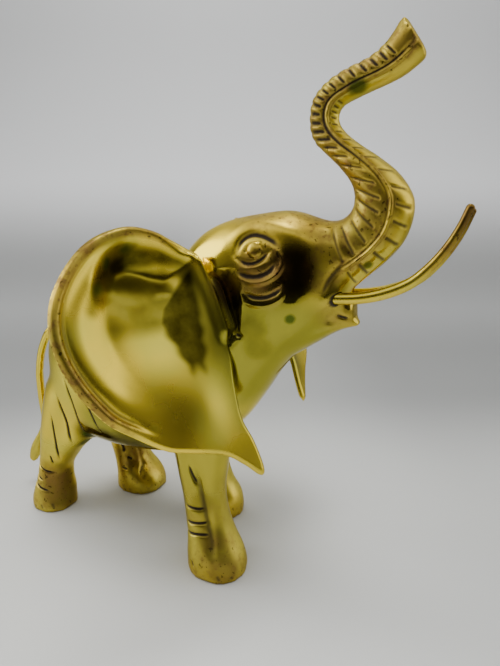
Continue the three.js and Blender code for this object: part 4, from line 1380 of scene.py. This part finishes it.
@dataclass
class Tusk:
    """A tusk: a bent brass rod that narrows to a rounded tip, set in a socket."""

    side: Side
    path: Sequence[tuple[float, float, float]] = (
        (27.8, 4.7, 57.0), (32.3, 4.7, 57.5), (36.3, 4.7, 58.6), (40.1, 4.7, 60.5),
        (42.8, 4.7, 63.1), (44.9, 4.6, 66.0), (46.5, 4.6, 69.0), (47.7, 4.5, 72.2),
    )
    drop: float = 0.7
    diameter: float = 4.4
    tip_diameter: float = 2.8
    socket_depth: float = 9.0
    clearance: float = 0.3

    def line(self) -> np.ndarray:
        """The tusk's middle line from the bottom of its socket to its tip."""
        lower = self.drop if self.side is Side.LEFT else 0.0
        points = np.array([place((x, y * self.side.value, z - lower)) for x, y, z in self.path])
        inward = points[0] - points[1]
        inward /= np.linalg.norm(inward)
        return np.vstack([points[0] + inward * self.socket_depth * MM, points])

    def build(self) -> bpy.types.Object:
        """Makes the rod.

        Returns:
            The object.
        """
        def radii(t: np.ndarray) -> np.ndarray:
            """The rod's radius, which narrows to the tip."""
            return (self.diameter + (self.tip_diameter - self.diameter) * rise(t, 0.35, 1)) / 2 * MM

        shell = rod(self.line(), radii, 160, 40)
        thing = shell.to_object(f"tusk_{self.side.name.lower()}")
        height = shell.points[:, 2] / PERCENT
        wear = np.zeros((len(height), 4))
        wear[:, 1] = 0.25 + 0.7 * rise(height, 59.0, 68.0)
        wear[:, 3] = 0.4
        write_wear_and_shade(thing, wear, 0.95 * rise(height, 64.0, 70.5))
        thing.data.shade_smooth()
        thing.data.set_sharp_from_angle(angle=SHARP_ANGLE)
        return thing

    def socket(self) -> Shell:
        """The space that the rod is set in, a clearance larger all round."""
        bottom, mouth, beyond = self.line()[:3]
        inward = (bottom - mouth) / np.linalg.norm(bottom - mouth)
        radius = (self.diameter / 2 + self.clearance) * MM
        path = [bottom + inward * self.clearance * MM, bottom, mouth, beyond]
        return rod(path, lambda t: np.full_like(t, radius), 30, 40)


class Node:
    """One socket of a shader, on which maths can be written."""

    def __init__(self, tree: bpy.types.NodeTree, socket: bpy.types.NodeSocket) -> None:
        """Wraps a socket of a tree."""
        self.tree = tree
        self.socket = socket

    def math(self, operation: str, *others: "Value", clamp: bool = False) -> "Node":
        """Adds a Math node on this value and others.

        Args:
            operation: The Math node's operation.
            *others: The further values.
            clamp: True to keep the result from 0 to 1.

        Returns:
            The result.
        """
        return shade(self.tree, "ShaderNodeMath", {"operation": operation, "use_clamp": clamp},
                     dict(enumerate((self, *others))))

    def __add__(self, other: "Value") -> "Node":
        """Adds."""
        return self.math("ADD", other)

    __radd__ = __add__

    def __sub__(self, other: "Value") -> "Node":
        """Subtracts."""
        return self.math("SUBTRACT", other)

    def __rsub__(self, other: "Value") -> "Node":
        """Subtracts this from a number."""
        return (self * -1.0) + other

    def __mul__(self, other: "Value") -> "Node":
        """Multiplies."""
        return self.math("MULTIPLY", other)

    __rmul__ = __mul__

    def over(self, low: float, high: float) -> "Node":
        """Rises smoothly from 0 to 1 between two values."""
        return shade(self.tree, "ShaderNodeMapRange", {"interpolation_type": "SMOOTHSTEP"},
                     {"Value": self, "From Min": low, "From Max": high, "To Min": 0.0, "To Max": 1.0})

    def most(self, other: "Value") -> "Node":
        """The greater of this and another."""
        return self.math("MAXIMUM", other)


Value = Union[Node, float, int, tuple, Vector]


def shade(tree: bpy.types.NodeTree, kind: str, settings: dict[str, object],
          inputs: dict[Union[str, int], Value], output: Union[str, int] = 0) -> Node:
    """Adds a node.

    Args:
        tree: The shader's node tree.
        kind: The node's type.
        settings: What is set on the node itself, first.
        inputs: Values or links by the socket's name or number.
        output: The output that is wanted.

    Returns:
        That output.
    """
    node = tree.nodes.new(kind)
    for name, value in settings.items():
        setattr(node, name, value)
    for key, value in inputs.items():
        if isinstance(value, Node):
            tree.links.new(value.socket, node.inputs[key])
        else:
            node.inputs[key].default_value = value
    return Node(tree, node.outputs[output])


def blend(tree: bpy.types.NodeTree, share: Value, first: Value, second: Value, way: str = "MIX") -> Node:
    """Mixes two colours.

    Args:
        tree: The shader's node tree.
        share: How much of the second there is.
        first: The first colour.
        second: The second colour.
        way: The Mix node's blend type.

    Returns:
        The mixed colour.
    """
    settings = {"data_type": "RGBA", "blend_type": way}
    return shade(tree, "ShaderNodeMix", settings, {0: share, 6: first, 7: second}, 2)


@dataclass(frozen=True)
class Brass:
    """Polished brass with brown tarnish, dark grime in its cuts and a little verdigris, darkened further by
    painted shade and painted dark reflections.
    """

    name: str
    colour: tuple[float, float, float, float] = (0.84, 0.63, 0.055, 1)
    olive: tuple[float, float, float, float] = (0.70, 0.60, 0.07, 1)
    # Darker olive, painted shade where the brass mirrors the shadowed floor under the body.
    shade_film: tuple[float, float, float, float] = (0.31, 0.285, 0.035, 1)
    # Near black, for painted shade and painted dark reflections, and for dark stains.
    deep: tuple[float, float, float, float] = (0.032, 0.025, 0.002, 1)
    tarnish: tuple[float, float, float, float] = (0.24, 0.14, 0.038, 1)
    grime: tuple[float, float, float, float] = (0.022, 0.013, 0.006, 1)
    verdigris: tuple[float, float, float, float] = (0.018, 0.06, 0.008, 1)
    polished: float = 0.07
    matt: float = 0.30
    spots: Sequence[tuple[float, float, float, float]] = ()

    def material(self) -> bpy.types.Material:
        """Makes the material.

        Returns:
            The material, with all its nodes.
        """
        made = bpy.data.materials.new(self.name)
        made.use_nodes = True
        tree = made.node_tree
        surface = tree.nodes["Principled BSDF"]
        surface.inputs["Specular Tint"].default_value = (0.86, 0.81, 0.62, 1)
        where = shade(tree, "ShaderNodeTexCoord", {}, {}, "Object")
        wear = shade(tree, "ShaderNodeAttribute", {"attribute_name": "wear"}, {}, "Color")
        matt = Node(tree, wear.socket.node.outputs["Alpha"])
        parts = shade(tree, "ShaderNodeSeparateColor", {}, {"Color": wear})
        grime, brown, shade_film = (Node(tree, parts.socket.node.outputs[index]) for index in range(3))
        broad = self.noise(tree, where, 28.0, 3.0)
        middle = self.noise(tree, where, 130.0, 4.0)
        fine = self.noise(tree, where, 420.0, 5.0)
        base = blend(tree, broad.over(0.42, 0.62), self.colour, self.olive)
        # Painted shade: darker olive where the brass mirrors the shadowed floor under the body.
        base = blend(tree, shade_film * (0.85 + 0.3 * middle).math("MINIMUM", 1.0), base, self.shade_film)
        # Painted shade and painted dark reflections, with dark stains, turn the brass near black.
        patina = shade(tree, "ShaderNodeAttribute", {"attribute_name": "patina"}, {}, "Fac")
        base = blend(tree, patina * (0.75 + 0.4 * middle), base, self.deep)
        speckle = fine.over(0.50, 0.66)
        brown_film = (brown * (0.55 + 0.3 * middle.over(0.35, 0.65) + 0.3 * speckle)).math("MINIMUM", 0.95)
        base = blend(tree, brown_film, base, self.tarnish)
        pits = self.noise(tree, where, 620.0, 1.0).over(0.66, 0.72) * brown.over(0.3, 0.8)
        base = blend(tree, pits * 0.7, base, self.grime)
        dark = grime.over(0.12, 0.8)
        rough = self.polished + (self.matt - self.polished) * matt + 0.07 * broad.over(0.35, 0.7)
        rough = rough + 0.16 * brown_film + 0.4 * dark
        if self.spots:
            moss = self.moss(tree, where, middle)
            base = blend(tree, moss, base, self.verdigris)
            rough = rough + 0.3 * moss
        base = blend(tree, dark, base, self.grime)
        tree.links.new(base.socket, surface.inputs["Base Color"])
        tree.links.new(rough.socket, surface.inputs["Roughness"])
        metal = 1.0 - 0.75 * dark
        tree.links.new(metal.socket, surface.inputs["Metallic"])
        scratches = self.noise(tree, where, 1500.0, 2.0)
        height = scratches * 0.15 + fine * (0.2 + 0.8 * brown) - pits * 0.8
        bump = shade(tree, "ShaderNodeBump", {}, {"Strength": 0.10, "Distance": 0.0006, "Height": height})
        tree.links.new(bump.socket, surface.inputs["Normal"])
        return made

    def moss(self, tree: bpy.types.NodeTree, where: Node, ragged: Node) -> Node:
        """The share of verdigris, in ragged spots.

        Args:
            tree: The shader's node tree.
            where: The place on the surface.
            ragged: A noise that frays the spots.

        Returns:
            The share, from 0 to 0.8.
        """
        share: Value = 0.0
        for x, y, z, reach in self.spots:
            ends = {0: where, 1: Vector(place((x, y, z)))}
            gap = shade(tree, "ShaderNodeVectorMath", {"operation": "DISTANCE"}, ends, "Value")
            inside = 1.0 - (gap * (1 / (reach * PERCENT)) + ragged * 0.9 - 0.45).over(0.35, 1.0)
            share = inside.most(share)
        return share * 0.8

    @staticmethod
    def noise(tree: bpy.types.NodeTree, where: Node, scale: float, detail: float) -> Node:
        """A noise over the surface."""
        return shade(tree, "ShaderNodeTexNoise", {}, {"Vector": where, "Scale": scale, "Detail": detail})


@dataclass
class Studio:
    """A pale sweep of floor, soft lights and the camera."""

    eye: tuple[float, float, float] = (0.11855, -0.19385, 0.1623)
    azimuth: float = 25.0
    pitch: float = 15.0
    focal_pixels: float = 510.0
    picture_height: float = 666.0

    def build(self) -> None:
        """Makes the floor, the lights, the world and the camera."""
        self.floor()
        self.card()
        self.light("top_light", (0.02, -0.05, 0.55), (0.02, -0.05, 0.0), 0.5, 3.4, mirrored=False)
        self.light("left_light", (-0.9, -0.3, 0.5), (0.0, 0.0, 0.1), 0.8, 4.0)
        self.light("wall_light", (-0.10, 0.22, 1.3), (-0.46, 1.05, 0.35), 0.6, 10.5)
        self.world()
        self.camera()

    def floor(self) -> None:
        """The floor, swept up into a wall behind, with painted shade and painted light in its colour."""
        profile = [(-1.6, 0.0), (0.7, 0.0)]
        for angle in np.radians(np.linspace(5, 90, 18)):
            profile.append((0.7 + 0.6 * math.sin(angle), 0.6 * (1 - math.cos(angle))))
        profile.append((1.3, 1.8))
        points = [(x, y, z) for y, z in profile for x in (-2.2, 2.2)]
        faces = [(2 * i, 2 * i + 1, 2 * i + 3, 2 * i + 2) for i in range(len(profile) - 1)]
        sweep = Shell(np.array(points), faces).to_object("floor")
        sweep.rotation_euler = (0, 0, math.radians(self.azimuth))
        sweep.data.shade_smooth()
        made = bpy.data.materials.new("pale_paper")
        made.use_nodes = True
        tree = made.node_tree
        surface = tree.nodes["Principled BSDF"]
        surface.inputs["Roughness"].default_value = 0.7
        where = shade(tree, "ShaderNodeTexCoord", {}, {}, "Object")
        cloud = shade(tree, "ShaderNodeTexNoise", {}, {"Vector": where, "Scale": 3.0, "Detail": 2.0})
        apart = shade(tree, "ShaderNodeSeparateXYZ", {}, {"Vector": where})
        across, back, high = (Node(tree, apart.socket.node.outputs[index]) for index in range(3))
        # Painted shade and painted light: the floor is darker in a band behind the figure and towards both
        # sides, lighter in a patch at the front left, and the wall is lighter still.
        paper_and_painted_light = blend(tree, back.over(0.0, 0.19), (0.51, 0.515, 0.49, 1), (0.245, 0.249, 0.24, 1))
        paper_and_painted_light = blend(tree, back.over(0.28, 0.55), paper_and_painted_light, (0.36, 0.365, 0.355, 1))
        edges = across.math("ABSOLUTE").over(0.05, 0.17)
        paper_and_painted_light = blend(tree, edges, paper_and_painted_light, (0.76, 0.76, 0.76, 1), "MULTIPLY")
        left = (across * -1.0).over(0.2, 0.4) * (back * -1.0).over(-0.05, 0.05)
        paper_and_painted_light = blend(tree, left, paper_and_painted_light, (0.64, 0.64, 0.62, 1))
        paper_and_painted_light = blend(tree, high.over(0.0, 0.22), paper_and_painted_light, (0.84, 0.85, 0.85, 1))
        paper_and_painted_light = blend(tree, 0.05 * cloud, paper_and_painted_light, (0.3, 0.3, 0.3, 1))
        tree.links.new(paper_and_painted_light.socket, surface.inputs["Base Color"])
        sweep.data.materials.append(made)

    def card(self) -> None:
        """A black card in front, which the polished brass mirrors and the camera doesn't see."""
        left, right, near, low, high = -0.5, -0.02, -0.46, 0.02, 0.40
        points = [(left, near, low), (right, near, low), (right, near, high), (left, near, high)]
        card = Shell(np.array(points), [(0, 1, 2, 3)]).to_object("black_card")
        card.rotation_euler = (0, 0, math.radians(self.azimuth))
        made = bpy.data.materials.new("black_card")
        made.use_nodes = True
        surface = made.node_tree.nodes["Principled BSDF"]
        surface.inputs["Base Color"].default_value = (0.006, 0.005, 0.004, 1)
        surface.inputs["Roughness"].default_value = 0.9
        card.data.materials.append(made)
        card.visible_camera = False
        card.visible_diffuse = False
        card.visible_shadow = False

    @staticmethod
    def light(name: str, spot: Sequence[float], target: Sequence[float], size: float, power: float,
              mirrored: bool = True) -> None:
        """Adds one soft light.

        Args:
            name: Its name.
            spot: Where it is.
            target: What it points at.
            size: Its width.
            power: Its power in watts.
            mirrored: Whether the brass mirrors it.
        """
        data = bpy.data.lights.new(name, "AREA")
        data.shape = "DISK"
        data.size = size
        data.energy = power
        lamp = bpy.data.objects.new(name, data)
        lamp.location = spot
        lamp.visible_glossy = mirrored
        lamp.rotation_euler = (Vector(target) - Vector(spot)).to_track_quat("-Z", "Y").to_euler()
        bpy.context.scene.collection.objects.link(lamp)

    def world(self) -> None:
        """The room round the studio, dark on the camera's side and lighter above and behind."""
        world = bpy.data.worlds.new("room")
        bpy.context.scene.world = world
        world.use_nodes = True
        tree = world.node_tree
        background = tree.nodes["Background"]
        where = shade(tree, "ShaderNodeTexCoord", {}, {}, "Generated")
        apart = shade(tree, "ShaderNodeSeparateXYZ", {}, {"Vector": where})
        x, y, up = (Node(tree, apart.socket.node.outputs[index]) for index in range(3))
        angle = math.radians(self.azimuth)
        ahead = y * math.cos(angle) - x * math.sin(angle)
        low = blend(tree, ahead.over(-0.75, -0.25), (0.04, 0.037, 0.033, 1), (0.22, 0.22, 0.21, 1))
        low = blend(tree, ahead.over(-0.30, -0.05), low, (1.7, 1.7, 1.7, 1))
        high = (up + ahead * 0.25).over(0.30, 0.65)
        room = blend(tree, high, low, (1.5, 1.5, 1.52, 1))
        room = blend(tree, up.over(0.72, 0.95), room, (0.40, 0.40, 0.41, 1))
        tree.links.new(room.socket, background.inputs["Color"])
        background.inputs["Strength"].default_value = 1.0

    def camera(self) -> None:
        """The camera, where the photograph was taken from."""
        data = bpy.data.cameras.new("camera")
        data.sensor_width = 36.0
        data.lens = data.sensor_width * self.focal_pixels / self.picture_height
        data.clip_start = 0.01
        made = bpy.data.objects.new("camera", data)
        made.location = self.eye
        made.rotation_euler = (math.radians(90 - self.pitch), 0, math.radians(self.azimuth))
        bpy.context.scene.collection.objects.link(made)
        bpy.context.scene.camera = made


def main() -> None:
    """Builds the elephant and its studio."""
    logging.basicConfig(level=logging.INFO, format="%(message)s")
    for name in ("Cube", "Light", "Camera"):
        if name in bpy.data.objects:
            bpy.data.objects.remove(bpy.data.objects[name])
    casting = Casting().build()
    casting.data.materials.clear()
    casting.data.materials.append(Brass("cast_brass", spots=VERDIGRIS_SPOTS).material())
    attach(casting, "root")
    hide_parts(CASTING_NODE)
    log.info("casting: %d triangles", len(casting.data.polygons))
    for side in Side:
        tusk = Tusk(side).build()
        tusk.data.materials.append(Brass(f"rod_brass_{side.name.lower()}", polished=0.14).material())
        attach(tusk, "root")
        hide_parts(f"{side.name.lower()}_tusk")
        log.info("%s: %d faces", tusk.name, len(tusk.data.polygons))
    Studio().build()


if __name__ == "__main__":
    main()
